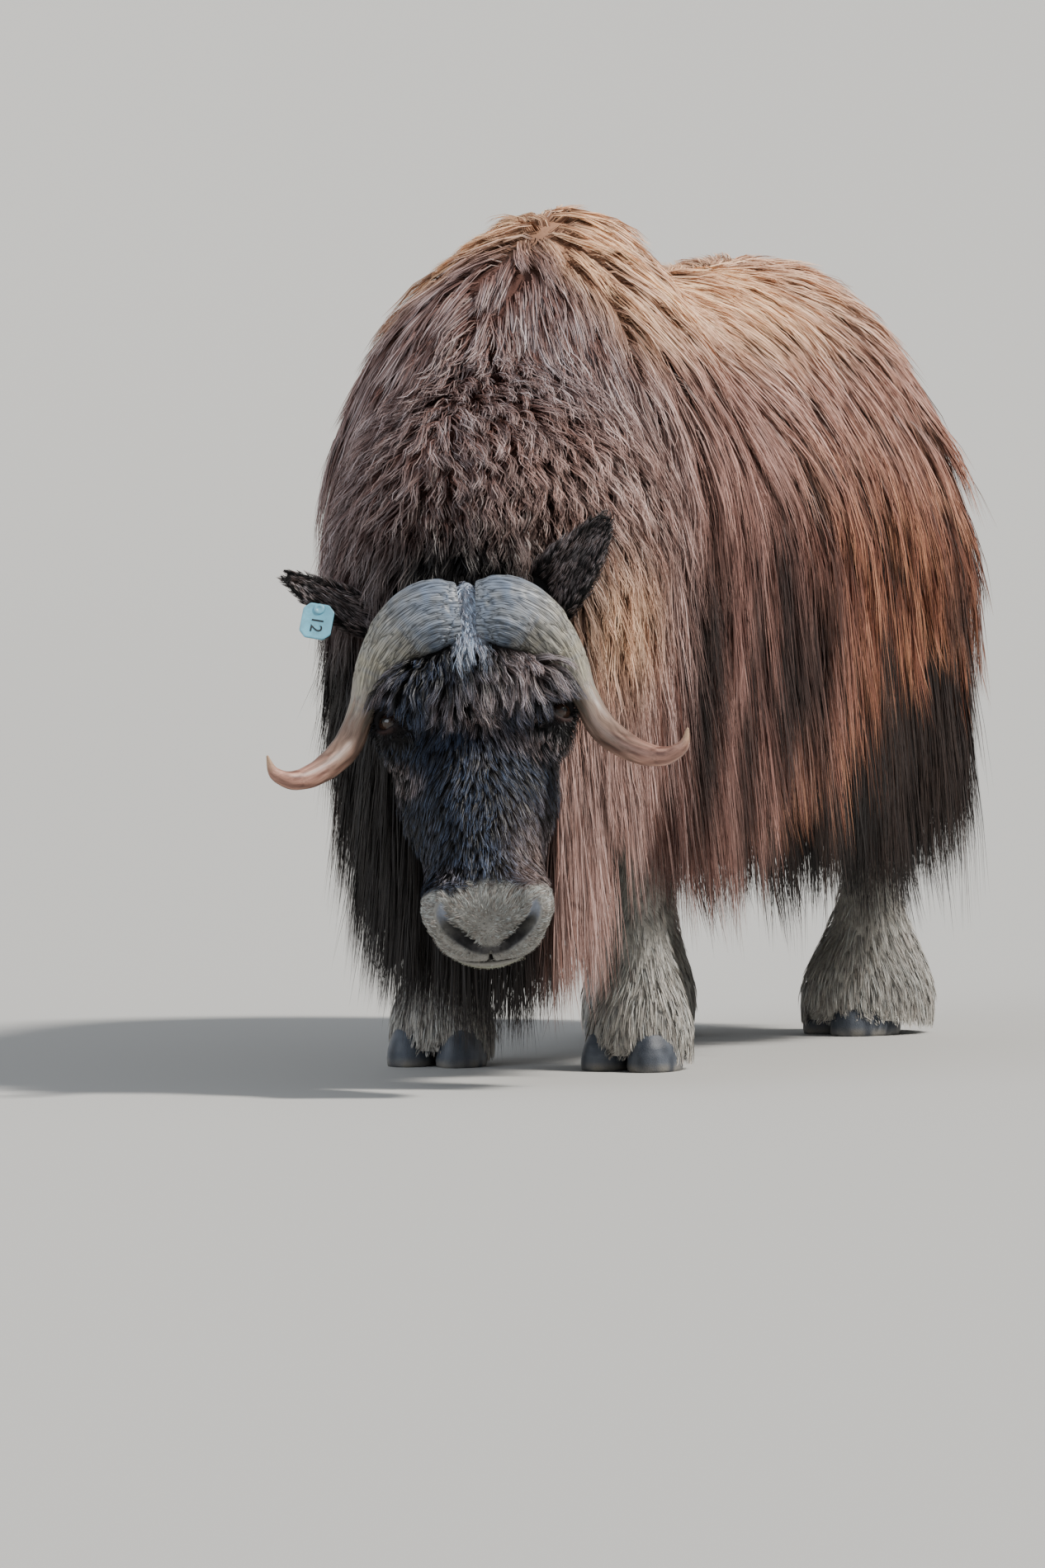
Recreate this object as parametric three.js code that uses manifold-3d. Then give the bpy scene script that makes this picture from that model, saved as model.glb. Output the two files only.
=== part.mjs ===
// A muskox standing with its head lowered and turned a little to its left, life size, in millimetres.
// +Z is up and the animal faces -Y, so its left side is +X. The floor is z = 0.
// The body is a core of blended masses with long flat locks of guard hair rooted in it; the whole is
// then parted by thin cuts into neck, torso and hindquarters. The head, horns, ears, eyes, legs,
// hooves and tail are bodies of their own, and whatever surrounds them is cut clear of them.
import * as THREE from 'three';
import Module from 'manifold-3d';

const wasm = await Module();
wasm.setup();

// Driving dimensions
const SHOULDER_HEIGHT = 1224; // top of the hump's core, the locks add the rest
const RUMP_HEIGHT = 1150;
const BELLY_HEIGHT = 400;
const SHOULDER_HALF_WIDTH = 262;
const BARREL_HALF_WIDTH = 296;
const RUMP_HALF_WIDTH = 286;
const BODY_FRONT = -300; // y of the brisket
const BODY_REAR = 1080; // y of the rump, behind the front hooves at y = 0
const SKIRT_HEM = 205; // height of the flank's longest hair above the floor
const LEG_HEM = 370; // in front of the forelegs, where the hair parts
const REAR_HEM = 270;
const BEARD_HEM = 70;
const CURTAIN_HEM = 135; // beside the face
const GAP = 0.35; // clearance between bodies that touch

const NECK_CUT = -185; // y where the neck is parted from the torso
const HIND_CUT = 560; // y where the hindquarters are parted from the torso

const HEAD_ORIGIN = [97, -552, 690]; // inside the skull, under the middle of the horn boss
const HEAD_TURN = 22; // degrees to the animal's left
const HEAD_PITCH = 68; // degrees that the face's line points below the horizontal
const HEAD_ROLL = 4; // degrees, the nose towards the animal's left
const HEAD_LENGTH = 506; // from the poll to the lips

const EYE_AT = [114, 181, -3]; // the left eye's centre in the head's frame
const EYE_RADIUS = 19;
const LID_RADIUS = 23;

const TRUNK_LEVEL = 740; // height of the trunk's long axis
const TRUNK_BLEND = 90; // how far the masses of each part melt into each other
const NECK_BLEND = 80;
const BODY_BLEND = 80;
const HEAD_BLEND = 30;

const v3 = (x, y, z) => new THREE.Vector3(x, y, z);
const radians = THREE.MathUtils.degToRad;
const DOWN = v3(0, 0, -1);
const UP = v3(0, 0, 1);
const FORWARD = v3(0, -1, 0);

// Seeded random numbers, the same on every run
let seed = 20240;
function random() {
  seed = (seed * 1664525 + 1013904223) % 4294967296;
  return seed / 4294967296;
}
const swing = () => 2 * random() - 1;
const around = (value, share) => value * (1 + share * swing());

// Distance fields

// The distance to an ellipsoid, nearly: negative inside.
function ellipsoidDistance(p, { at, size }) {
  const x = (p.x - at[0]) / size[0];
  const y = (p.y - at[1]) / size[1];
  const z = (p.z - at[2]) / size[2];
  const k0 = Math.hypot(x, y, z);
  const k1 = Math.hypot(x / size[0], y / size[1], z / size[2]);
  return k1 < 1e-9 ? -Math.min(...size) : (k0 * (k0 - 1)) / k1;
}

// Blends ellipsoids into one field. A mass that is off the middle plane is there on both sides.
function blendedField(masses, softness) {
  const both = masses.flatMap((m) =>
    m.paired ? [m, { ...m, at: [-m.at[0], m.at[1], m.at[2]] }] : [m],
  );
  return (p) => {
    let d = Infinity;
    for (const mass of both) {
      const e = ellipsoidDistance(p, mass);
      const h = Math.max(softness - Math.abs(d - e), 0) / softness;
      d = Math.min(d, e) - (Number.isFinite(d) ? (h * h * softness) / 4 : 0);
    }
    return d;
  };
}

function outward(field, p) {
  const e = 2;
  return v3(
    field(v3(p.x + e, p.y, p.z)) - field(v3(p.x - e, p.y, p.z)),
    field(v3(p.x, p.y + e, p.z)) - field(v3(p.x, p.y - e, p.z)),
    field(v3(p.x, p.y, p.z + e)) - field(v3(p.x, p.y, p.z - e)),
  ).normalize();
}

// How far it is from a point inside a field to its surface.
function reach(field, from, direction) {
  const step = 6;
  let t = 0;
  while (field(from.clone().addScaledVector(direction, t + step)) < 0) t += step;
  let low = t;
  let high = t + step;
  for (let i = 0; i < 12; i++) {
    const middle = (low + high) / 2;
    if (field(from.clone().addScaledVector(direction, middle)) < 0) low = middle;
    else high = middle;
  }
  return low;
}

const surfacePoint = (field, from, direction) =>
  from.clone().addScaledVector(direction, reach(field, from, direction));

// Meshes and solids

function solid(points, triangles) {
  const vertProperties = new Float32Array(points.flatMap((p) => [p.x, p.y, p.z]));
  return new wasm.Manifold(
    new wasm.Mesh({ numProp: 3, vertProperties, triVerts: new Uint32Array(triangles) }),
  );
}

// Joins rings of points, each turning the same way about the path, into a closed body.
// A ring of one point is a tip; a last or first ring of several is closed flat.
function ringBody(rings) {
  const points = rings.flat();
  const starts = [];
  rings.reduce((n, ring) => (starts.push(n), n + ring.length), 0);
  const triangles = [];
  for (let i = 0; i + 1 < rings.length; i++) {
    const [a, b] = [starts[i], starts[i + 1]];
    const [m, n] = [rings[i].length, rings[i + 1].length];
    const sides = Math.max(m, n);
    for (let j = 0; j < sides; j++) {
      const k = (j + 1) % sides;
      if (m === 1) triangles.push(a, b + k, b + j);
      else if (n === 1) triangles.push(a + j, a + k, b);
      else triangles.push(a + j, a + k, b + k, a + j, b + k, b + j);
    }
  }
  const last = rings.length - 1;
  for (let j = 1; j + 1 < rings[0].length; j++)
    triangles.push(starts[0], starts[0] + j + 1, starts[0] + j);
  for (let j = 1; j + 1 < rings[last].length; j++)
    triangles.push(starts[last], starts[last] + j, starts[last] + j + 1);
  return solid(points, triangles);
}

// The skin of a field: rings across an axis, each point found by walking out along its ray.
function fieldBody(field, { from, to, up, rings, sides, grow = 0, spacing = (t) => t }) {
  const axis = to.clone().sub(from).normalize();
  const middle = from.clone().lerp(to, 0.5);
  const start = surfacePoint(field, middle, axis.clone().negate());
  const end = surfacePoint(field, middle, axis);
  const e1 = up.clone().addScaledVector(axis, -up.dot(axis)).normalize();
  const e2 = axis.clone().cross(e1);
  const all = [[start.clone().addScaledVector(axis, -grow)]];
  for (let i = 1; i < rings; i++) {
    const t = spacing((1 - Math.cos((Math.PI * i) / rings)) / 2);
    const centre = start.clone().lerp(end, t);
    const ring = [];
    for (let j = 0; j < sides; j++) {
      const angle = (2 * Math.PI * j) / sides;
      const ray = e1.clone().multiplyScalar(Math.cos(angle)).addScaledVector(e2, Math.sin(angle));
      ring.push(centre.clone().addScaledVector(ray, reach(field, centre, ray) + grow));
    }
    all.push(ring);
  }
  all.push([end.clone().addScaledVector(axis, grow)]);
  return ringBody(all);
}

// A body along a path of sections { at, wide, deep }, deep being measured along the normal.
// A section with no width is a tip.
function sweep(sections, normalAt, sides, phase = 0) {
  const rings = sections.map(({ at, wide, deep }, i) => {
    if (wide <= 0) return [at];
    const before = sections[Math.max(i - 1, 0)].at;
    const after = sections[Math.min(i + 1, sections.length - 1)].at;
    const tangent = after.clone().sub(before).normalize();
    const n = normalAt(at, i);
    const normal = n.clone().addScaledVector(tangent, -n.dot(tangent)).normalize();
    const side = normal.clone().cross(tangent);
    return Array.from({ length: sides }, (_, j) => {
      const angle = phase + (2 * Math.PI * j) / sides;
      return at
        .clone()
        .addScaledVector(side, wide * Math.cos(angle))
        .addScaledVector(normal, deep * Math.sin(angle));
    });
  });
  return ringBody(rings);
}

// Spreads a few key sections [x, y, z, wide, deep] over a smooth path of many.
function smoothSections(keys, count, grow = 0) {
  const path = new THREE.CatmullRomCurve3(keys.map(([x, y, z]) => v3(x, y, z)), false, 'centripetal');
  const widths = keys.map(([, , , wide, deep]) => v3(wide, deep, 0));
  const sizes = new THREE.CatmullRomCurve3(widths, false, 'centripetal');
  return Array.from({ length: count + 1 }, (_, i) => {
    const t = i / count;
    const size = sizes.getPoint(t);
    const tip = i === count && keys[keys.length - 1][3] === 0;
    const past = i === 0 ? -grow : i === count ? grow : 0;
    return {
      at: path.getPoint(t).addScaledVector(path.getTangent(t), past),
      wide: tip && !grow ? 0 : Math.max(size.x, 1) + grow,
      deep: Math.max(size.y, 1) + grow,
    };
  });
}

function fromGeometry(geometry) {
  const position = geometry.getAttribute('position');
  const found = new Map();
  const points = [];
  const merged = Array.from({ length: position.count }, (_, i) => {
    const p = v3().fromBufferAttribute(position, i);
    const key = [p.x, p.y, p.z].map((c) => Math.round(c * 1e4)).join();
    if (!found.has(key)) {
      found.set(key, points.length);
      points.push(p);
    }
    return found.get(key);
  });
  const order = geometry.index ? Array.from(geometry.index.array) : merged.map((_, i) => i);
  const triangles = [];
  for (let i = 0; i < order.length; i += 3) {
    const [a, b, c] = [merged[order[i]], merged[order[i + 1]], merged[order[i + 2]]];
    if (a !== b && b !== c && c !== a) triangles.push(a, b, c);
  }
  return solid(points, triangles);
}

function ellipsoid(at, size, across = 16, down = 10) {
  const geometry = new THREE.SphereGeometry(1, across, down);
  geometry.scale(...size).translate(...at);
  return fromGeometry(geometry);
}

const union = (solids) => wasm.Manifold.union(solids);

function largest(whole) {
  const pieces = whole.decompose().filter((piece) => piece.volume() > 0);
  return pieces.reduce((best, piece) => (piece.volume() > best.volume() ? piece : best));
}

function mirrored(whole) {
  return whole.mirror([1, 0, 0]);
}

// Trunk and neck cores

const TRUNK_MASSES = [
  { name: 'shoulders', at: [0, 20, 760], size: [SHOULDER_HALF_WIDTH, 300, 350] },
  { name: 'hump', at: [0, 40, 950], size: [160, 270, SHOULDER_HEIGHT - 950] },
  { name: 'barrel', at: [0, 430, 740], size: [BARREL_HALF_WIDTH, 460, 740 - BELLY_HEIGHT] },
  { name: 'loin', at: [0, 520, 970], size: [190, 330, 160] },
  { name: 'rump', at: [0, 770, 770], size: [RUMP_HALF_WIDTH, BODY_REAR - 770, RUMP_HEIGHT - 770] },
  { name: 'haunch', at: [140, 800, 640], size: [150, 230, 250], paired: true },
];
const trunkField = blendedField(TRUNK_MASSES, TRUNK_BLEND);

const NECK_MASSES = [
  { name: 'neck base', at: [5, -90, 830], size: [245, 250, 325] },
  { name: 'neck', at: [40, -300, 700], size: [208, 230, 265] },
  { name: 'nape', at: [80, -405, 650], size: [140, 150, 155] },
  { name: 'throat', at: [70, -330, 500], size: [150, 190, 190] },
];
const neckField = blendedField(NECK_MASSES, NECK_BLEND);

const bodyField = (p) => {
  const [a, b] = [trunkField(p), neckField(p)];
  const h = Math.max(BODY_BLEND - Math.abs(a - b), 0) / BODY_BLEND;
  return Math.min(a, b) - (h * h * BODY_BLEND) / 4;
};

const TRUNK_AXIS = { from: v3(0, BODY_FRONT, TRUNK_LEVEL), to: v3(0, BODY_REAR, TRUNK_LEVEL) };
const NECK_AXIS = { from: v3(0, 0, 850), to: v3(120, -520, 560) };

const trunkCore = fieldBody(trunkField, { ...TRUNK_AXIS, up: UP, rings: 14, sides: 20 });
const neckCore = fieldBody(neckField, { ...NECK_AXIS, up: UP, rings: 11, sides: 18 });

// Locks of guard hair

const LOCK_SHAPE = [
  { wide: 0.85, deep: 0.9 },
  { wide: 1, deep: 1 },
  { wide: 0.82, deep: 0.75 },
  { wide: 0, deep: 0 },
];
const LOCK_SIDES = 3; // flat underneath with a ridge along the outside
const LOCK_DEPTH = 14;
const SINK = 16; // how deep a root starts under the surface
const LYING = 0.2; // a surface that faces up this much carries its hair, a steeper one lets it hang
const LEAST_LIE = 0.12; // how much of its lie hair keeps where it hangs

// How low the hair that is rooted at a point may hang
const CHEST = { front: -390, back: -30, foreleg: 145, width: 92 };
const THROAT = { x: 70, half: 150 };
const SKIRT_END = HIND_CUT + 300;

function hemBelow({ x, y }) {
  const aside = Math.min(Math.abs(x - THROAT.x) / THROAT.half, 1);
  if (y < CHEST.front && x < THROAT.x + THROAT.half)
    return BEARD_HEM + (CURTAIN_HEM - BEARD_HEM) * aside;
  const beforeLeg = Math.abs(Math.abs(x) - CHEST.foreleg) < CHEST.width;
  if (y < CHEST.back && (beforeLeg || y < CHEST.front)) return LEG_HEM;
  return y > SKIRT_END ? REAR_HEM : SKIRT_HEM;
}

// A flat tapered lock that starts under the surface at root, follows the slope of the body down
// and its lie along it, and hangs plumb where the body turns under. It rises to lift off the core.
function lock(root, { length, wide, lift, lie }) {
  const steps = LOCK_SHAPE.length - 1;
  const hem = around(hemBelow(root), 0.1);
  const step = Math.min(length, root.z - hem) / steps;
  const first = outward(bodyField, root);
  const path = [root.clone().addScaledVector(first, -SINK)];
  const normals = [first];
  const p = root.clone();
  for (let i = 1; i <= steps; i++) {
    const n = outward(bodyField, p);
    const slope = DOWN.clone().addScaledVector(n, -n.dot(DOWN));
    const hang = n.z < 0 ? DOWN.clone() : slope;
    p.addScaledVector(hang.addScaledVector(lie, Math.max(n.z, 0) + LEAST_LIE).normalize(), step);
    const clear = lift * Math.sqrt(i / steps);
    const d = bodyField(p);
    const out = outward(bodyField, p);
    if (d < clear || n.z > LYING) p.addScaledVector(out, clear - d);
    path.push(p.clone());
    normals.push(v3(out.x, out.y, Math.max(out.z, 0)).normalize());
  }
  const sections = path.map((at, i) => ({
    at,
    wide: wide * LOCK_SHAPE[i].wide,
    deep: LOCK_DEPTH * LOCK_SHAPE[i].deep,
  }));
  return sweep(sections, (_, i) => normals[i], LOCK_SIDES, Math.PI / 2);
}

// Rows down each side of the trunk: angle from the spine, then the locks' length and lift
const TRUNK_ROWS = [
  { angle: 7, length: 200, lift: 26 },
  { angle: 36, length: 260, lift: 36 },
  { angle: 66, length: 320, lift: 46 },
  { angle: 94, length: 460, lift: 46 },
  { angle: 122, length: 420, lift: 30 },
];
const TRUNK_LOCKS = { from: -200, to: 930, spacing: 136, wide: 84, stray: 14 };

function trunkLocks() {
  const { from, to, spacing, wide, stray } = TRUNK_LOCKS;
  const made = [];
  for (const side of [-1, 1])
    TRUNK_ROWS.forEach(({ angle, length, lift }, row) => {
      for (let y = from + (row % 2) * spacing * 0.5; y < to; y += spacing) {
        const at = radians(angle + 3 * swing());
        const centre = v3(0, y + stray * swing(), TRUNK_LEVEL);
        const root = surfacePoint(bodyField, centre, v3(side * Math.sin(at), 0, Math.cos(at)));
        made.push(
          lock(root, {
            length: around(length, 0.12),
            wide: around(wide, 0.1),
            lift: around(lift, 0.2),
            lie: v3(side * 0.2, 0.4 + 0.15 * swing(), 0),
          }),
        );
      }
    });
  return made;
}

// Rows across the rump: angle above the level of its middle, then the locks' length
const RUMP_ROWS = [
  { rise: 46, length: 260, count: 4 },
  { rise: 16, length: 320, count: 5 },
  { rise: -14, length: 420, count: 4 },
];
const RUMP_SPREAD = 58; // degrees to each side of the tail
const RUMP_MIDDLE = v3(0, 790, TRUNK_LEVEL);

function rumpLocks() {
  return RUMP_ROWS.flatMap(({ rise, length, count }) =>
    Array.from({ length: count }, (_, i) => {
      const turn = radians(RUMP_SPREAD * ((2 * i) / (count - 1) - 1));
      const up = radians(rise + 3 * swing());
      const ray = v3(Math.sin(turn) * Math.cos(up), Math.cos(turn) * Math.cos(up), Math.sin(up));
      return lock(surfacePoint(bodyField, RUMP_MIDDLE, ray), {
        length: around(length, 0.1),
        wide: around(84, 0.1),
        lift: around(34, 0.2),
        lie: v3(0, 0.2, 0),
      });
    }),
  );
}

// Rows round the neck, from the withers to the head: short on the crest and long at the throat
const NECK_LOCKS = { from: 0.36, to: 0.9, stations: 5, step: 45, crest: 150, throat: 430, wide: 72 };

function neckLocks() {
  const { from, to, stations, step, crest, throat, wide } = NECK_LOCKS;
  const made = [];
  for (let i = 0; i < stations; i++) {
    const t = from + ((to - from) * i) / (stations - 1);
    const centre = NECK_AXIS.from.clone().lerp(NECK_AXIS.to, t);
    for (let angle = (i % 2) * 0.5 * step; angle < 360; angle += step) {
      const fromCrest = Math.min(angle, 360 - angle) / 180;
      const at = radians(angle + 4 * swing());
      const ray = v3(Math.sin(at), -0.35, Math.cos(at)).normalize();
      made.push(
        lock(surfacePoint(bodyField, centre, ray), {
          length: around(crest + (throat - crest) * fromCrest, 0.12),
          wide: around(wide, 0.12),
          lift: around(34, 0.2),
          lie: v3(Math.sign(ray.x) * 0.2, -0.05, 0),
        }),
      );
    }
  }
  return made;
}

// Head frame: u to the animal's left, v down the face towards the nose, w out of the face.
// It is left-handed.

const headForward = v3(Math.sin(radians(HEAD_TURN)), -Math.cos(radians(HEAD_TURN)), 0);
const pitchCos = Math.cos(radians(HEAD_PITCH));
const pitchSin = Math.sin(radians(HEAD_PITCH));
const headW = headForward.clone().multiplyScalar(pitchSin).addScaledVector(UP, pitchCos);
const headV = headForward
  .clone()
  .multiplyScalar(pitchCos)
  .addScaledVector(DOWN, pitchSin)
  .applyAxisAngle(headW, radians(HEAD_ROLL));
const headU = headW.clone().cross(headV);
const headMatrix = new THREE.Matrix4()
  .makeBasis(headU, headV, headW)
  .setPosition(...HEAD_ORIGIN);
const placeOnHead = (whole) => whole.transform(headMatrix.elements);
const OUT_OF_FACE = v3(0, 0, 1);

const HEAD_MASSES = [
  { name: 'cranium', at: [0, 78, -75], size: [108, 115, 105] },
  { name: 'forehead', at: [0, 108, -12], size: [104, 92, 60] },
  { name: 'parting', at: [0, 36, 46], size: [18, 60, 26] },
  { name: 'brow', at: [92, 148, 0], size: [46, 40, 38], paired: true },
  { name: 'orbit', at: [100, 186, -22], size: [36, 52, 34], paired: true },
  { name: 'nose bridge', at: [0, 295, -42], size: [76, 178, 66] },
  { name: 'cheek', at: [66, 240, -92], size: [44, 110, 70], paired: true },
  { name: 'jaw', at: [0, 310, -118], size: [60, 170, 44] },
  { name: 'nose root', at: [0, 380, -66], size: [76, 90, 56] },
  { name: 'muzzle', at: [0, 440, -50], size: [86, 56, 58] },
  { name: 'nostril wing', at: [56, 450, -22], size: [33, 34, 30], paired: true },
  { name: 'upper lip', at: [0, 472, -60], size: [66, 32, 34] },
  { name: 'lower lip', at: [0, 472, -104], size: [54, 38, 26] },
];
const headField = blendedField(HEAD_MASSES, HEAD_BLEND);
const HEAD_AXIS = { from: v3(0, -30, -60), to: v3(0, HEAD_LENGTH, -66) };
const headSkin = (grow) =>
  fieldBody(headField, { ...HEAD_AXIS, up: OUT_OF_FACE, rings: 20, sides: 20, grow });

// Horns: a broad flat boss beside the parting that narrows, sweeps down beside the face and hooks up
const HORN = [
  [13, 40, 44, 44, 24],
  [50, 42, 46, 52, 31],
  [92, 60, 30, 46, 32],
  [131, 102, 4, 31, 28],
  [154, 154, -10, 20, 24],
  [178, 207, -4, 21, 21],
  [216, 250, 22, 18, 18],
  [254, 273, 52, 14, 14],
  [281, 271, 80, 9, 9],
  [290, 250, 96, 0, 0],
];
const hornBody = (grow) => sweep(smoothSections(HORN, 14, grow), () => OUT_OF_FACE, 10);

// Ears: a pointed leaf with a cup in its front face
const LEFT_EAR = [
  [54, 44, -70, 24, 16],
  [98, 16, -30, 42, 19],
  [138, -16, 8, 45, 16],
  [180, -60, 26, 29, 11],
  [213, -110, 40, 0, 0],
];
const RIGHT_EAR = [
  [-62, 34, -85, 20, 16],
  [-118, 2, -84, 27, 17],
  [-168, -24, -78, 31, 15],
  [-222, -56, -70, 21, 10],
  [-266, -88, -62, 0, 0],
];
const EAR_OPENING = 0.72; // the cup's width as a share of the ear's

const earLeaf = (keys, grow) => sweep(smoothSections(keys, 8, grow), () => OUT_OF_FACE, 8);

function earBody(keys, horn) {
  const cup = keys
    .slice(1)
    .map(([u, v, w, wide, deep]) => [u, v, w + 0.9 * deep, EAR_OPENING * wide, 0.95 * deep]);
  const hollow = sweep(smoothSections(cup, 6), () => OUT_OF_FACE, 6);
  return largest(earLeaf(keys, 0).subtract(union([hollow, horn])));
}

// Eyes, their lids and openings
const LID_OPENING = [17, 9.5, 16];
const facing = v3(0.84, -0.02, 0.54).normalize();
const eyeBall = (grow) => ellipsoid(EYE_AT, Array(3).fill(EYE_RADIUS + grow), 12, 8);
const lidBall = () => ellipsoid(EYE_AT, Array(3).fill(LID_RADIUS), 10, 6);

function lidOpening() {
  const along = facing.clone().cross(v3(0, 1, 0)).normalize();
  const basis = new THREE.Matrix4()
    .makeBasis(along, facing.clone().cross(along), facing)
    .setPosition(v3(...EYE_AT).addScaledVector(facing, EYE_RADIUS));
  return ellipsoid([0, 0, 0], LID_OPENING, 10, 6).transform(basis.elements);
}

// The mouth's line and the nostrils
const MOUTH = [
  [68, 418, -94, 14, 1.8],
  [56, 466, -89, 14, 2],
  [32, 494, -85, 16, 2],
  [0, 502, -84, 16, 2],
  [-32, 494, -85, 16, 2],
  [-56, 466, -89, 14, 2],
  [-68, 418, -94, 14, 1.8],
];
const NOSTRIL = [
  [60, 460, 8, 8, 8],
  [53, 477, -6, 15, 12],
  [37, 492, -26, 14, 11],
  [20, 500, -40, 7, 6],
];

function headBody() {
  const eyes = [eyeBall(GAP), lidOpening()];
  const horns = [hornBody(GAP + 0.1)];
  const nostril = sweep(smoothSections(NOSTRIL, 4), () => v3(0, 1, 0), 6);
  const pairs = [...eyes, ...horns, nostril].flatMap((one) => [one, mirrored(one)]);
  const mouth = sweep(smoothSections(MOUTH, 6), () => OUT_OF_FACE, 4);
  const skin = union([headSkin(0), lidBall(), mirrored(lidBall())]);
  const ears = [earLeaf(LEFT_EAR, GAP), earLeaf(RIGHT_EAR, GAP)];
  return largest(skin.subtract(union([...pairs, mouth, ...ears])));
}

// Legs

// Sections [z, share of the way from the foot to the top, forward, half width, half depth]
const FRONT_PROFILE = [
  [640, 1, 0, 80, 105],
  [520, 0.8, 0, 66, 82],
  [360, 0.4, 5, 44, 52],
  [220, 0.15, 4, 42, 44],
  [130, 0, -4, 58, 60],
  [62, 0, 0, 77, 80],
  [26, 0, 0, 74, 78],
];
const HIND_PROFILE = [
  [640, 1, 0, 85, 125],
  [520, 0.8, -20, 66, 90],
  [380, 0.4, -60, 46, 60],
  [240, 0.15, -28, 45, 52],
  [140, 0, -16, 66, 78],
  [66, 0, -10, 86, 108],
  [26, 0, -4, 82, 102],
];
const LEGS = {
  front_left: { profile: FRONT_PROFILE, top: [120, 40], foot: [141, 0], toeOut: -4 },
  front_right: { profile: FRONT_PROFILE, top: [-120, 40], foot: [-160, -12], toeOut: 6 },
  hind_left: { profile: HIND_PROFILE, top: [130, 850], foot: [150, 900], toeOut: -36 },
  hind_right: { profile: HIND_PROFILE, top: [-130, 830], foot: [-152, 730], toeOut: 10 },
};

function legBody({ profile, top, foot, toeOut }, grow) {
  const keys = profile.map(([z, share, forward, wide, deep]) => [
    foot[0] + (top[0] - foot[0]) * share,
    foot[1] + (top[1] - foot[1]) * share - forward,
    z,
    wide,
    deep,
  ]);
  const turn = (z) => radians(toeOut * Math.min(Math.max((300 - z) / 200, 0), 1));
  const facing = ({ z }) => FORWARD.clone().applyAxisAngle(UP, turn(z));
  return sweep(smoothSections(keys, 8, grow), facing, 10);
}

// Hooves: two claws, flat underneath, that meet in the middle
const CLAW = { side: 33, at: -26, wide: 36, long: 60, high: 60, splay: 4 };

function hoofBody({ foot: [x, y], toeOut }, grow) {
  const { side, at, wide, long, high, splay } = CLAW;
  const claw = (way) =>
    ellipsoid([way * side, at, 10], [wide + grow, long + grow, high + grow], 8, 6)
      .rotate([0, 0, way * splay]);
  return union([claw(-1), claw(1)])
    .rotate([0, 0, toeOut])
    .translate([x, y, 0])
    .trimByPlane([0, 0, 1], -grow);
}

// Tail: short and flat, hanging from the top of the rump
const tailRoot = surfacePoint(bodyField, v3(0, 790, 860), v3(0, 1, 0));
const TAIL = [
  [0, -16, 10, 26, 16],
  [0, 14, -6, 30, 17],
  [0, 34, -50, 32, 15],
  [0, 34, -100, 24, 11],
  [0, 26, -140, 0, 0],
];
const tailBody = (grow) =>
  sweep(smoothSections(TAIL, 6, grow), () => v3(0, 1, 0.2), 8).translate(tailRoot.toArray());

// Ear tag: an eight-sided plate in front of the right ear's lower edge, with a stud through the ear
const TAG = { at: [-208, 4, -52], across: 22, tall: 26, thick: 3, corner: 9, tilt: 14 };
const STUD = { at: [0, -18], radius: 4.5, long: 26 };

function tagBody(grow) {
  const { across, tall, corner } = TAG;
  const outline = new THREE.Shape(
    [
      [across, tall - corner],
      [across - corner, tall],
      [corner - across, tall],
      [-across, tall - corner],
      [-across, corner - tall],
      [corner - across, -tall],
      [across - corner, -tall],
      [across, corner - tall],
    ].map(([x, y]) => new THREE.Vector2(x + grow * Math.sign(x), y + grow * Math.sign(y))),
  );
  const plate = new THREE.ExtrudeGeometry(outline, { depth: TAG.thick + 2 * grow, bevelEnabled: false });
  plate.translate(0, 0, -grow);
  const stud = new THREE.CylinderGeometry(STUD.radius + grow, STUD.radius + grow, STUD.long + 2 * grow, 8);
  stud.rotateX(Math.PI / 2).translate(...STUD.at, TAG.thick + 1.5 - STUD.long / 2);
  return union([fromGeometry(plate), fromGeometry(stud)]).rotate([0, 0, TAG.tilt]).translate(TAG.at);
}

const shapes = new Map();
for (const [place, leg] of Object.entries(LEGS)) {
  shapes.set('leg_' + place, largest(legBody(leg, 0).subtract(hoofBody(leg, GAP))));
  shapes.set('hoof_' + place, hoofBody(leg, 0));
}
const legsGrown = Object.values(LEGS).map((leg) => legBody(leg, GAP));

// The head and what it carries
shapes.set('head', placeOnHead(headBody()));
shapes.set('horn_left', placeOnHead(hornBody(0)));
shapes.set('horn_right', placeOnHead(mirrored(hornBody(0))));
shapes.set('ear_left', placeOnHead(earBody(LEFT_EAR, hornBody(GAP))));
const rightEar = earBody(RIGHT_EAR, mirrored(hornBody(GAP)));
shapes.set('ear_right', placeOnHead(largest(rightEar.subtract(tagBody(GAP)))));
shapes.set('ear_tag', placeOnHead(tagBody(0)));
shapes.set('eye_left', placeOnHead(eyeBall(0)));
shapes.set('eye_right', placeOnHead(mirrored(eyeBall(0))));

const headGrown = placeOnHead(
  union([
    headSkin(GAP + 0.2),
    hornBody(GAP),
    mirrored(hornBody(GAP)),
    earLeaf(LEFT_EAR, GAP),
    earLeaf(RIGHT_EAR, GAP),
    tagBody(GAP),
  ]),
);

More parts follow.
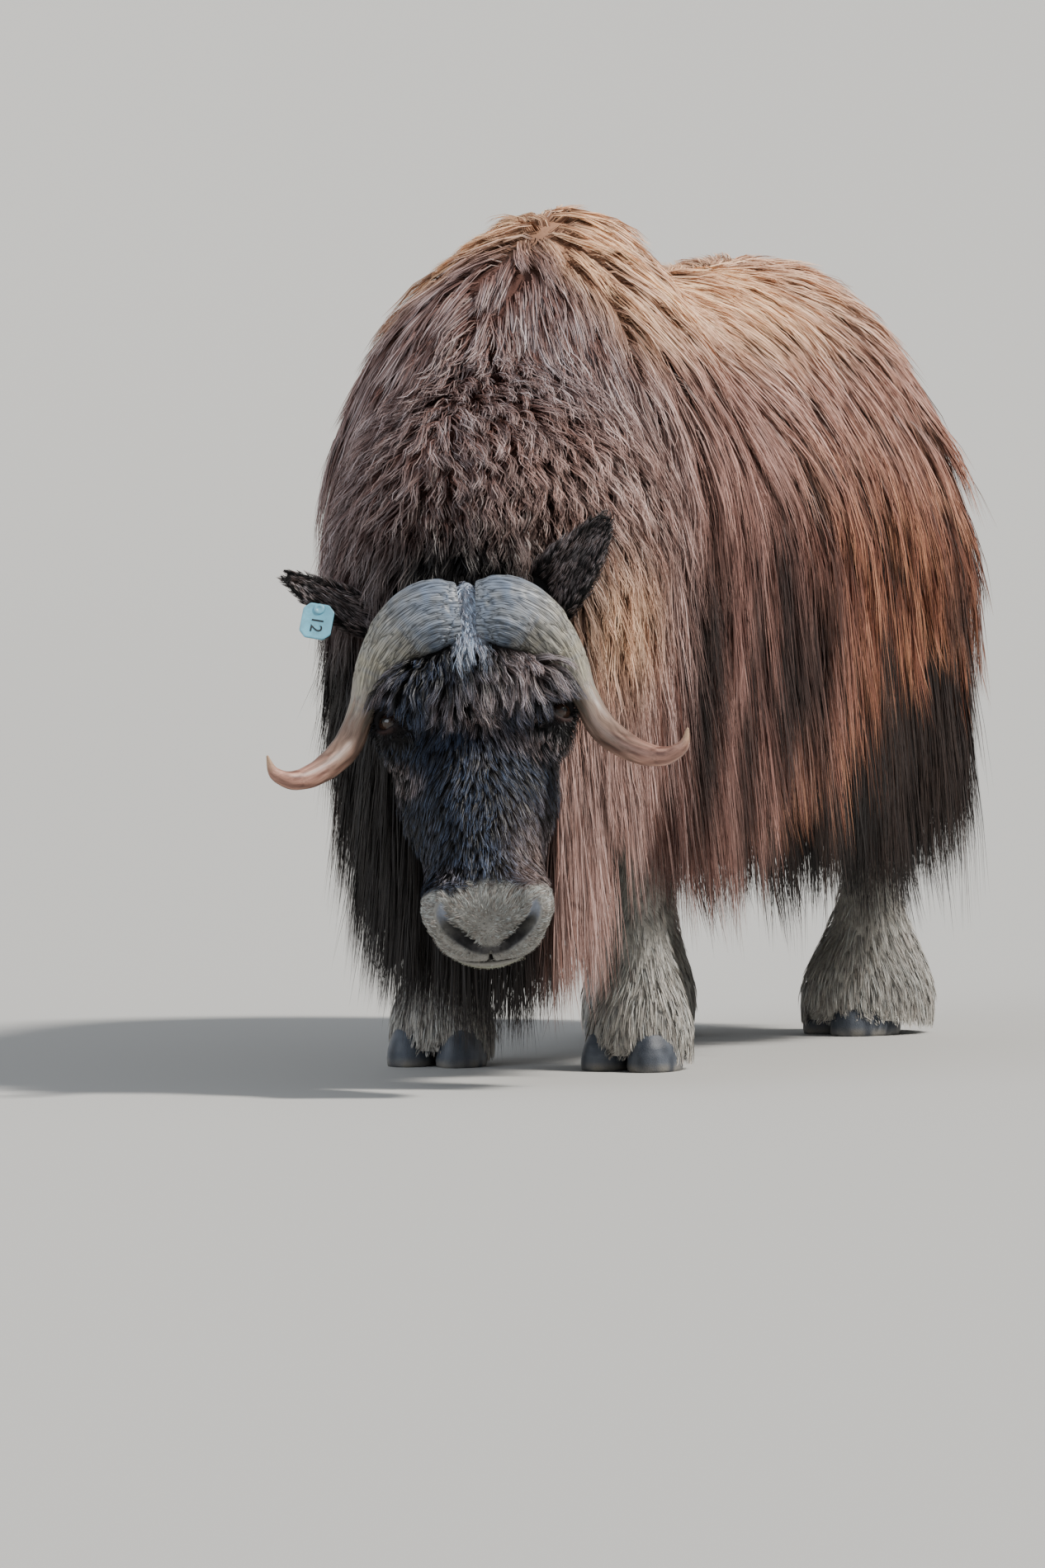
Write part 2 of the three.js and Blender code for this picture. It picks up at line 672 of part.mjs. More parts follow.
// The coated body, parted into three
const coat = [...trunkLocks(), ...rumpLocks(), ...neckLocks()];
const surroundings = union([...legsGrown, headGrown, tailBody(GAP)]);
const body = union([trunkCore, neckCore, ...coat]).subtract(surroundings);
const behind = (whole, y) => whole.trimByPlane([0, 1, 0], y + GAP / 2);
const before = (whole, y) => whole.trimByPlane([0, -1, 0], -y + GAP / 2);
shapes.set('neck', largest(before(body, NECK_CUT)));
shapes.set('torso', largest(before(behind(body, NECK_CUT), HIND_CUT)));
shapes.set('hindquarters', largest(behind(body, HIND_CUT)));
shapes.set('tail', tailBody(0));

// Scene

const FINISHES = {
  horn: { colour: 0x8f8676, roughness: 0.6 },
  hoof: { colour: 0x2c2f36, roughness: 0.6 },
  eye: { colour: 0x17110d, roughness: 0.1 },
  ear_tag: { colour: 0x86bccb, roughness: 0.4 },
  head: { colour: 0x2b2523, roughness: 0.9 },
  ear: { colour: 0x241c18, roughness: 0.9 },
  leg: { colour: 0xb3a491, roughness: 0.9 },
  neck: { colour: 0x3a2922, roughness: 0.9 },
  torso: { colour: 0x4f3325, roughness: 0.9 },
  hindquarters: { colour: 0x553420, roughness: 0.9 },
  tail: { colour: 0x35241c, roughness: 0.9 },
};
const finishOf = (name) => FINISHES[name] ?? FINISHES[name.split('_')[0]];

function mesh(name, whole) {
  const { vertProperties, triVerts } = whole.getMesh();
  const geometry = new THREE.BufferGeometry();
  geometry.setAttribute('position', new THREE.BufferAttribute(vertProperties, 3));
  geometry.setIndex(new THREE.BufferAttribute(triVerts, 1));
  geometry.computeVertexNormals();
  const { colour, roughness } = finishOf(name);
  const made = new THREE.Mesh(geometry, new THREE.MeshStandardMaterial({ color: colour, roughness }));
  made.name = name;
  return made;
}

const muskox = new THREE.Group();
for (const [name, whole] of shapes) muskox.add(mesh(name, whole));

// The origin is on the floor under the middle of the whole animal's box.
const middle = new THREE.Box3().setFromObject(muskox).getCenter(v3());
muskox.position.set(-middle.x, -middle.y, 0);

export default muskox;
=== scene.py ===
import math

import bpy
import numpy as np
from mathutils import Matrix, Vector
from mathutils.kdtree import KDTree


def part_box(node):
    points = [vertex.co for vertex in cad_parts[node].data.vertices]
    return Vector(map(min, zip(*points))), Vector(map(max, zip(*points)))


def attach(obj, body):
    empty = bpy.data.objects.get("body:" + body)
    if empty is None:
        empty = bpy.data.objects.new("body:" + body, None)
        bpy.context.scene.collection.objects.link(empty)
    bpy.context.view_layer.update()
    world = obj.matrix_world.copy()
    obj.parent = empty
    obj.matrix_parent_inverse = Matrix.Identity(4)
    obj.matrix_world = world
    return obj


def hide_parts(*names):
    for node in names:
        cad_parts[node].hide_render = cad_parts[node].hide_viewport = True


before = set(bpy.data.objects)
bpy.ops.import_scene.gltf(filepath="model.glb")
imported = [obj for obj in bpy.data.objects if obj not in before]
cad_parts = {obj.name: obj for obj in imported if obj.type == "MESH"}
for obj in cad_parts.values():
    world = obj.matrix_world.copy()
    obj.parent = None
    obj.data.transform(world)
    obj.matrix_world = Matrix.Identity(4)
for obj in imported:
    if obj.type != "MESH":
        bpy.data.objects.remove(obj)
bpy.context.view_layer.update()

# A muskox with its coat. All shapes are worked out in millimetres in the frame of the part's source,
# with y = 0 at the front hooves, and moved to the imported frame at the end.

SEED = 2024
rng = np.random.default_rng(SEED)

UP = np.array([0.0, 0.0, 1.0])
DOWN = -UP


def unit(v):
    return v / np.maximum(np.linalg.norm(v, axis=-1, keepdims=True), 1e-9)


def smoothstep(x, low, high):
    t = np.clip((x - low) / (high - low), 0, 1)
    return t * t * (3 - 2 * t)


def mix(a, b, t):
    return a + (b - a) * t


def turned(v, axis, degrees):
    a = math.radians(degrees)
    return v * math.cos(a) + np.cross(axis, v) * math.sin(a) + axis * (v @ axis) * (1 - math.cos(a))


# The head's frame: u to the animal's left, v down the face, w out of the face. It is left-handed.
HEAD_ORIGIN = np.array([97.0, -552.0, 690.0])
HEAD_TURN, HEAD_PITCH, HEAD_ROLL = 22, 68, 4
HEAD_AHEAD = np.array([math.sin(math.radians(HEAD_TURN)), -math.cos(math.radians(HEAD_TURN)), 0.0])
PITCH_COS, PITCH_SIN = math.cos(math.radians(HEAD_PITCH)), math.sin(math.radians(HEAD_PITCH))
HEAD_W = HEAD_AHEAD * PITCH_SIN + UP * PITCH_COS
HEAD_V = turned(HEAD_AHEAD * PITCH_COS + DOWN * PITCH_SIN, HEAD_W, HEAD_ROLL)
HEAD_U = np.cross(HEAD_W, HEAD_V)
HEAD_AXES = np.array([HEAD_U, HEAD_V, HEAD_W])


def from_head(q):
    return HEAD_ORIGIN + q @ HEAD_AXES


def to_head(p):
    return (p - HEAD_ORIGIN) @ HEAD_AXES.T


EYE_AT = np.array([114.0, 181.0, -3.0])
EYE_RADIUS = 19.0
MIRROR = np.array([-1.0, 1.0, 1.0])

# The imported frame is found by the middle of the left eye, in metres there
EYE_CORNERS = np.array(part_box("eye_left"))
SHIFT = EYE_CORNERS.sum(0) / 2 * 1000 - from_head(EYE_AT)


def placed(p):
    """Millimetres in the source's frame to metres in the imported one."""
    return (p + SHIFT) / 1000


# Distance fields, negative inside


def ellipsoid(p, at, size):
    q = (p - at) / size
    k0 = np.sqrt((q * q).sum(-1))
    r = q / size
    k1 = np.sqrt((r * r).sum(-1))
    return k0 * (k0 - 1) / np.maximum(k1, 1e-9)


def joined(a, b, soft):
    h = np.maximum(soft - np.abs(a - b), 0) / soft
    return np.minimum(a, b) - h * h * soft / 4


def carved(a, b, soft):
    """a without b, with a rounded edge."""
    return -joined(-a, b, soft)


def both_sides(rows):
    out = []
    for at, size, paired in rows:
        out.append((np.array(at, float), np.array(size, float)))
        if paired:
            out.append((np.array(at, float) * MIRROR, np.array(size, float)))
    return out


def blended(p, rows, soft):
    d = ellipsoid(p, *rows[0])
    for row in rows[1:]:
        d = joined(d, ellipsoid(p, *row), soft)
    return d


def spline(keys, count):
    """Smooth rows through the key rows."""
    keys = np.array(keys, float)
    n = len(keys) - 1
    t = np.linspace(0, n, count + 1)
    i = np.minimum(t.astype(int), n - 1)
    f = (t - i)[:, None]
    a = keys[np.maximum(i - 1, 0)]
    b, c = keys[i], keys[i + 1]
    d = keys[np.minimum(i + 2, n)]
    return 0.5 * (2 * b + (c - a) * f + (2 * a - 5 * b + 4 * c - d) * f**2 + (3 * b - a - 3 * c + d) * f**3)


def swept(p, rows, normals=(0, 0, 1)):
    """Field of a limb along rows x, y, z, half width, half depth, which is measured along the normals."""
    normals = np.broadcast_to(np.asarray(normals, float), (len(rows), 3))
    best = np.full(len(p), 1e9)
    for i in range(len(rows) - 1):
        a, b = rows[i], rows[i + 1]
        ab = b[:3] - a[:3]
        length = max(np.linalg.norm(ab), 1e-6)
        tangent = ab / length
        t = np.clip((p - a[:3]) @ tangent / length, 0, 1)[:, None]
        c = a + (b - a) * t
        d = p - c[:, :3]
        n = unit(normals[i] - (normals[i] @ tangent) * tangent)
        s = np.cross(n, tangent)
        wide, deep = np.maximum(c[:, 3], 0.5), np.maximum(c[:, 4], 0.5)
        least = np.minimum(wide, deep)
        q = np.stack([d @ s / wide, d @ n / deep, d @ tangent / least], 1)
        k0 = np.sqrt((q * q).sum(1))
        k1 = np.sqrt((q[:, 0] / wide) ** 2 + (q[:, 1] / deep) ** 2 + (q[:, 2] / least) ** 2)
        best = np.minimum(best, k0 * (k0 - 1) / np.maximum(k1, 1e-9))
    return best


# Masses of the body, as in the part's source
TRUNK = both_sides(
    [
        ((0, 20, 760), (262, 300, 350), False),
        ((0, 40, 950), (160, 270, 274), False),
        ((0, 430, 740), (296, 460, 340), False),
        ((0, 520, 970), (190, 330, 160), False),
        ((0, 770, 770), (286, 310, 380), False),
        ((140, 800, 640), (150, 230, 250), True),
    ]
)
NECK = both_sides(
    [
        ((5, -90, 830), (245, 250, 325), False),
        ((40, -300, 700), (208, 230, 265), False),
        ((80, -405, 650), (140, 150, 155), False),
        ((70, -330, 500), (150, 190, 190), False),
    ]
)


def body_field(p):
    return joined(blended(p, TRUNK, 90), blended(p, NECK, 80), 80)


def gradient(field, p, e=3.0):
    """Unit vectors out of a field's surface."""
    k = np.array([[1, -1, -1], [-1, -1, 1], [-1, 1, -1], [1, 1, 1]], float)
    return unit(sum(row * field(p + row * e)[:, None] for row in k))


# Legs
FRONT_PROFILE = [
    (640, 1, 0, 80, 105),
    (520, 0.8, 0, 66, 82),
    (360, 0.4, 5, 44, 52),
    (220, 0.15, 4, 42, 44),
    (130, 0, -4, 58, 60),
    (62, 0, 0, 77, 80),
    (26, 0, 0, 74, 78),
]
HIND_PROFILE = [
    (640, 1, 0, 85, 125),
    (520, 0.8, -20, 66, 90),
    (380, 0.4, -60, 46, 60),
    (240, 0.15, -28, 45, 52),
    (140, 0, -16, 66, 78),
    (66, 0, -10, 86, 108),
    (26, 0, -4, 82, 102),
]
LEGS = {
    "front_left": (FRONT_PROFILE, (120, 40), (141, 0), -4),
    "front_right": (FRONT_PROFILE, (-120, 40), (-160, -12), 6),
    "hind_left": (HIND_PROFILE, (130, 850), (150, 900), -36),
    "hind_right": (HIND_PROFILE, (-130, 830), (-152, 730), 10),
}
LEG_COAT = 9.0


def leg_rows(name, shrink):
    """Rows of a leg from its profile of height, share towards the top, offset ahead and half sizes."""
    profile, top, foot, toe_out = LEGS[name]
    keys = []
    for z, share, ahead, wide, deep in profile:
        x, y = foot[0] + (top[0] - foot[0]) * share, foot[1] + (top[1] - foot[1]) * share - ahead
        keys.append((x, y, z, wide - shrink, deep - shrink))
    rows = spline(keys, 18)
    angles = np.radians(toe_out) * np.clip((300 - rows[:, 2]) / 200, 0, 1)
    normals = np.stack([np.sin(angles), -np.cos(angles), np.zeros(len(rows))], 1)
    return rows, normals


LEG_ROWS = {name: leg_rows(name, LEG_COAT) for name in LEGS}


def leg_field(p, name):
    return swept(p, *LEG_ROWS[name])


def surface_net(f, low, step):
    """Quads over the zero level of a sampled field."""
    inside = f < 0
    shape = np.array(f.shape)
    count = sum(
        inside[i : shape[0] - 1 + i, j : shape[1] - 1 + j, k : shape[2] - 1 + k].astype(np.int8)
        for i in (0, 1)
        for j in (0, 1)
        for k in (0, 1)
    )
    active = (count > 0) & (count < 8)
    cells = np.argwhere(active)
    index = np.full(active.shape, -1)
    index[active] = np.arange(len(cells))
    total = np.zeros((len(cells), 3))
    number = np.zeros(len(cells))
    for axis in range(3):
        for i in (0, 1):
            for j in (0, 1):
                a = np.zeros(3, int)
                a[(axis + 1) % 3] = i
                a[(axis + 2) % 3] = j
                b = a.copy()
                b[axis] = 1
                fa = f[tuple((cells + a).T)]
                fb = f[tuple((cells + b).T)]
                cross = (fa < 0) != (fb < 0)
                t = (fa / np.where(cross, fa - fb, 1))[:, None]
                total[cross] += (a + t * (b - a))[cross]
                number[cross] += 1
    points = low + step * (cells + total / number[:, None])
    quads = []
    for axis in range(3):
        first = [slice(None)] * 3
        second = [slice(None)] * 3
        first[axis] = slice(0, -1)
        second[axis] = slice(1, None)
        a, b = inside[tuple(first)], inside[tuple(second)]
        edges = np.argwhere(a != b)
        j, k = (axis + 1) % 3, (axis + 2) % 3
        edges = edges[(edges[:, j] > 0) & (edges[:, k] > 0)]
        edges = edges[(edges[:, j] < shape[j] - 1) & (edges[:, k] < shape[k] - 1)]
        corners = []
        for dj, dk in ((-1, -1), (0, -1), (0, 0), (-1, 0)):
            c = edges.copy()
            c[:, j] += dj
            c[:, k] += dk
            corners.append(index[tuple(c.T)])
        quad = np.stack(corners, 1)
        out = a[tuple(edges.T)]
        quad[~out] = quad[~out][:, ::-1]
        quads.append(quad)
    return points, np.concatenate(quads)


def grid_points(low, counts, step):
    axes = [low[i] + step * np.arange(counts[i]) for i in range(3)]
    return np.stack(np.meshgrid(*axes, indexing="ij"), -1).reshape(-1, 3)


# The skin of the body: the core of the coat and the legs in one surface
BODY_STEP = 9.0
BODY_LOW = np.array([-330.0, -640.0, 18.0])
BODY_COUNTS = (75, 193, 136)
SKIN_DEPTH = 4.0  # how far the skin lies inside the core


def close_to(p, rows, margin):
    """Which points lie in the box round the rows' places, with a margin."""
    return ((p > rows[:, :3].min(0) - margin) & (p < rows[:, :3].max(0) + margin)).all(1)


def body_skin():
    p = grid_points(BODY_LOW, BODY_COUNTS, BODY_STEP)
    f = body_field(p) + SKIN_DEPTH
    for name in LEGS:
        near = close_to(p, LEG_ROWS[name][0], 150)
        f[near] = joined(f[near], leg_field(p[near], name), 50)
    return surface_net(f.reshape(BODY_COUNTS), BODY_LOW, BODY_STEP)


# The skin of the head
HEAD_MASSES = both_sides(
    [
        ((0, 78, -75), (105, 112, 102), False),
        ((0, 108, -14), (101, 90, 58), False),
        ((0, 46, 40), (21, 52, 13), False),
        ((90, 146, -2), (45, 38, 38), True),
        ((101, 186, -26), (34, 50, 34), True),
        ((0, 295, -44), (73, 175, 64), False),
        ((66, 240, -92), (42, 106, 68), True),
        ((0, 310, -118), (58, 168, 43), False),
        ((0, 380, -68), (73, 88, 54), False),
        ((0, 440, -52), (82, 54, 57), False),
        ((52, 452, -28), (33, 33, 30), True),
        ((0, 476, -62), (62, 27, 33), False),
        ((26, 478, -66), (36, 27, 24), True),
        ((0, 474, -103), (50, 34, 23), False),
    ]
)
NOSTRIL = [
    (66, 455, 10, 5, 4),
    (64, 468, 1, 7, 6),
    (54, 482, -10, 9, 8),
    (39, 491, -22, 9, 8),
    (24, 499, -34, 7, 5),
    (16, 506, -44, 4, 3),
]
NOSTRIL_RIM = [
    (58, 446, 6, 7, 6),
    (71, 462, -6, 8, 8),
    (66, 482, -20, 9, 9),
    (50, 496, -34, 8, 8),
    (32, 503, -44, 6, 6),
]
MOUTH = [
    (66, 440, -92, 9, 3.5),
    (58, 471, -84, 10, 4),
    (36, 499, -76, 12, 4),
    (0, 510, -73, 13, 4),
    (-36, 499, -76, 12, 4),
    (-58, 471, -84, 10, 4),
    (-66, 440, -92, 9, 3.5),
]
# The eye's own axes: out of its opening, along the opening and across it
FACING = unit(np.array([0.62, -0.04, 0.78]))
EYE_ALONG = unit(np.cross(FACING, np.array([0.0, 1.0, 0.0])))
EYE_ACROSS = np.cross(FACING, EYE_ALONG)
LID_THICK = 3.2


def with_eye(d, e):
    """The face's field d at places e from an eye's middle, with lids, folds, the opening and a hollow."""
    part = joined(d, np.linalg.norm(e, axis=1) - (EYE_RADIUS + LID_THICK), 9)
    s, t, o = e @ EYE_ALONG, -(e @ EYE_ACROSS), e @ FACING
    arch = 15.5 * np.maximum(1 - (s / 24) ** 2, 0) ** 0.5
    upper = ellipsoid(np.stack([s, t + arch, o - 12.5], 1), 0, np.array([23, 4.5, 7]))
    lower = ellipsoid(np.stack([s, t - arch, o - 11.5], 1), 0, np.array([22, 3.5, 6]))
    part = joined(part, np.minimum(upper, lower), 5)
    opening = ellipsoid(np.stack([s, t, o - EYE_RADIUS], 1), 0, np.array([18, 12.2, 15]))
    part = carved(part, opening, 2.5)
    return carved(part, ellipsoid(e, np.array([-20, 24, 24]), np.array([7, 14, 7])), 9)


def head_field(q, fine=True):
    """Field of the head, with eyes, nostrils and mouth where it is fine."""
    d = blended(q, HEAD_MASSES, 30)
    if not fine:
        return d
    for side in (1, -1):
        m = q * np.array([side, 1, 1])
        near = np.linalg.norm(m - EYE_AT, axis=1) < 90
        d[near] = with_eye(d[near], m[near] - EYE_AT)
        near = (m[:, 1] > 400) & (m[:, 0] > -20)
        part = joined(d[near], swept(m[near], spline(NOSTRIL_RIM, 8)), 14)
        d[near] = carved(part, swept(m[near], spline(NOSTRIL, 10), (0, 0.5, 0.86)), 5)
    near = (q[:, 1] > 400) & (q[:, 2] < -40)
    d[near] = carved(d[near], swept(q[near], spline(MOUTH, 18)), 6)
    return carved(d, ellipsoid(q, np.array([0, 511, -56]), np.array([2.5, 9, 16])), 6)


# Ears: leaves with a hollow front
LEFT_EAR = [
    (46, 50, -74, 24, 18),
    (98, 16, -30, 42, 19),
    (138, -16, 8, 45, 16),
    (180, -60, 26, 29, 11),
    (213, -110, 40, 4, 3),
]
RIGHT_EAR = [
    (-56, 38, -87, 20, 18),
    (-118, 2, -84, 27, 17),
    (-168, -24, -78, 31, 15),
    (-222, -56, -70, 21, 10),
    (-266, -88, -62, 4, 3),
]
EAR_COAT = 3.0


def ear_field(q, keys):
    rows = spline(keys, 14)
    outer = rows.copy()
    outer[:, 3:] = np.maximum(outer[:, 3:] - EAR_COAT, 1)
    leaf = swept(q, outer)
    hollow = rows[3:].copy()
    hollow[:, 2] += 0.95 * hollow[:, 4]
    hollow[:, 3] *= 0.74
    hollow[:, 4] *= 1.15
    return carved(leaf, swept(q, hollow), 3)


HEAD_STEP = 3.0
HEAD_LOW = np.array([-282.0, -126.0, -204.0])
HEAD_COUNTS = (172, 220, 104)


def head_skin():
    q = grid_points(HEAD_LOW, HEAD_COUNTS, HEAD_STEP)
    f = np.full(len(q), 60.0)
    main = (np.abs(q[:, 0]) < 158) & (q[:, 1] > -60)
    f[main] = head_field(q[main])
    for keys in (LEFT_EAR, RIGHT_EAR):
        near = close_to(q, np.array(keys, float), 60)
        f[near] = joined(f[near], ear_field(q[near], keys), 12)
    points, quads = surface_net(f.reshape(HEAD_COUNTS), HEAD_LOW, HEAD_STEP)
    return points, quads[:, ::-1]


# Horns: a broad flat boss that narrows, sweeps down beside the face and hooks up
HORN = [
    (13, 40, 44, 44, 24),
    (50, 42, 46, 52, 31),
    (92, 60, 30, 46, 32),
    (131, 102, 4, 31, 28),
    (154, 154, -10, 20, 24),
    (178, 207, -4, 21, 21),
    (216, 250, 22, 18, 18),
    (254, 273, 52, 14, 14),
    (281, 271, 80, 9, 9),
    (290, 250, 96, 2, 2),
]
HORN_ROWS = spline(HORN, 26)


def horn_field(q):
    return np.minimum(swept(q, HORN_ROWS), swept(q * MIRROR, HORN_ROWS))


def noise(p, scale, seed):
    """Seeded value noise from -1 to 1, for shapes and markings."""
    q = np.asarray(p, float) / scale + seed * 17.13
    i = np.floor(q).astype(np.int64)
    f = q - i
    f = f * f * (3 - 2 * f)
    total = 0
    dims = q.shape[1]
    for corner in range(2**dims):
        bits = np.array([(corner >> k) & 1 for k in range(dims)])
        c = i + bits
        h = (c * np.array([374761393, 668265263, 2147483647])[:dims]).sum(1) + seed * 144665
        h = (h ^ (h >> 13)) * 1274126177
        value = ((h ^ (h >> 16)) & 0xFFFF) / 65535.0
        total = total + value * np.prod(np.where(bits, f, 1 - f), 1)
    return total * 2 - 1


# Markings: one colour rule for the skin and the coat
def srgb(r, g, b):
    c = np.array([r, g, b]) / 255
    return np.where(c < 0.04045, c / 12.92, ((c + 0.055) / 1.055) ** 2.4)


TAN = srgb(240, 196, 156)
RED = srgb(126, 77, 59)
GOLD = srgb(210, 152, 114)
PLUM = srgb(120, 82, 74)
MAUVE = srgb(206, 163, 150)
BROWN = srgb(52, 35, 29)
UMBER = srgb(30, 23, 20)
BLACK = srgb(12, 11, 12)
ASH = srgb(178, 162, 162)
# SLATE and STEEL are grey-blue tips of the face's hair; their blue is a painted sky reflection
SLATE = srgb(58, 69, 92)
STEEL = srgb(110, 125, 156)
PALE = srgb(168, 168, 168)
CREAM = srgb(192, 190, 184)
WHITE = srgb(178, 188, 206)


def over(colour, top, share):
    return mix(colour, top, share[:, None])


def bell(x, middle, width):
    return np.exp(-(((x - middle) / width) ** 2))


def outer_hem(p):
    """Where the reddish outer hair ends over the darker hair of the flank and rump."""
    return 205 + 0.46 * np.clip(p[:, 1] - 40, 0, 960)


def body_marking(p, t, place=None):
    """Colour of the body's coat for a root p, a share t of the way to the tip, at a place on the strand."""
    place = p if place is None else place
    x, y, z = place.T
    tone, small = noise(p, 170, 3), noise(p, 45, 4)
    deep = mix(BLACK, UMBER, t)
    tips = smoothstep(t, 0.45, 1.0)
    front = mix(mix(BROWN, PLUM, smoothstep(t, 0, 0.6)), MAUVE, tips * (0.5 + 0.35 * small[:, None]))
    rear = mix(mix(BROWN, RED, smoothstep(t, 0, 0.5)), GOLD, tips * (0.55 + 0.35 * tone[:, None]))
    colour = over(front, rear, smoothstep(y + 120 * tone, 120, 480))
    # Painted sky sheen: high on the body the hair is mixed half way towards MAUVE, most towards its tips
    high = smoothstep(z, 700, 980)[:, None]
    colour = mix(colour, mix(colour, MAUVE, 0.5), high * smoothstep(t, 0.0, 0.6))
    saddle = smoothstep(z + 30 * tone, 960, 1120) * (1 - 0.45 * smoothstep(y, 420, 900))
    saddle = saddle * smoothstep(y + 0.5 * np.abs(x), -190, -80)
    tan = mix(mix(BROWN, RED, 0.6), TAN, smoothstep(t, 0.0, 0.4))
    colour = over(colour, tan, np.clip(saddle * (0.85 + 0.35 * small), 0, 1))
    edge = np.where(p[:, 1] > 60, outer_hem(p), 300)
    colour = over(colour, deep, 1 - smoothstep(p[:, 2], edge + 40, edge + 130))
    colour = over(colour, deep, smoothstep(y, 1000, 1070) * (1 - smoothstep(z, 600, 760)))
    # Painted shade: the hair is darkened behind the shoulders, in long streaks between the locks low on the
    # flank, and in a wedge on the left flank
    gap = bell(y, -106, 50) * (1 - smoothstep(z, 620, 820)) * smoothstep(np.abs(x), 200, 250)
    streak = smoothstep(noise(place / np.array([60, 60, 330]), 1.0, 15), 0.08, 0.45)
    streak = streak * (1 - smoothstep(z, 560, 800))
    gap = np.maximum(gap, 0.88 * streak * smoothstep(y, -60, 60))
    painted_shadow_wedge = bell(y, 185, 36) * bell(z, 650, 120) * smoothstep(x, 100, 200)
    gap = np.maximum(gap, 0.9 * painted_shadow_wedge)
    colour = over(colour, deep, 0.95 * gap)
    neck = 1 - smoothstep(y, -250, -110)
    wool = mix(mix(BROWN, PLUM, 0.6), ASH * 1.1, smoothstep(t, 0.1, 0.9) * (0.75 + 0.35 * small[:, None]))
    colour = over(colour, wool, neck)
    # The neck's hair is rosy on its left side and near black low down on the rest: partly the hair's own
    # colours, partly a painted lit left side and painted shade on the right side
    side = smoothstep(x, 70, 200) * neck * (1 - smoothstep(z, 860, 1000))
    sunlit_rosy = mix(RED, MAUVE * np.array([0.86, 0.92, 0.96]), 0.75 + 0.25 * small[:, None])
    colour = over(colour, mix(BROWN, sunlit_rosy, smoothstep(t, 0, 0.7)), 0.85 * side)
    colour = over(colour, deep, neck * (1 - smoothstep(z, 560, 720)) * (1 - smoothstep(x, 150, 230)))
    # Painted sunlit patch: bright tan hair on the left side of the neck, beside the ear
    sunlit_patch = bell(place, np.array([238, -380, 640]), np.array([70, 110, 85])).prod(1)
    colour = over(colour, mix(RED, TAN * 1.2, smoothstep(t, 0, 0.6)), 0.9 * sunlit_patch)
    nape = bell(place, from_head(np.array([0.0, -20.0, -30.0])), np.array([165, 160, 110])).prod(1)
    return over(colour, deep, np.clip(1.3 * nape, 0, 1))


def on_eye(q):
    """Place from the middle of the nearer eye, its distance, and whether it is before the opening."""
    place = np.stack([np.abs(q[:, 0]), q[:, 1], q[:, 2]], 1) - EYE_AT
    away = np.linalg.norm(place, axis=1)
    return place, away, (away < 40) & (place @ FACING > 0.72 * away)


NOSE_STRIP = [
    (57, 482, -9, 3.5, 3.5),
    (48, 489, -18, 6, 6),
    (34, 496, -30, 7.5, 7.5),
    (16, 502, -41, 8, 8),
    (0, 504, -43, 8, 8),
]


def curve_gap(q, rows, count=10):
    """Distance to a swept curve on either side of the face."""
    m = q.copy()
    m[:, 0] = np.abs(m[:, 0])
    return swept(m, spline(rows, count))


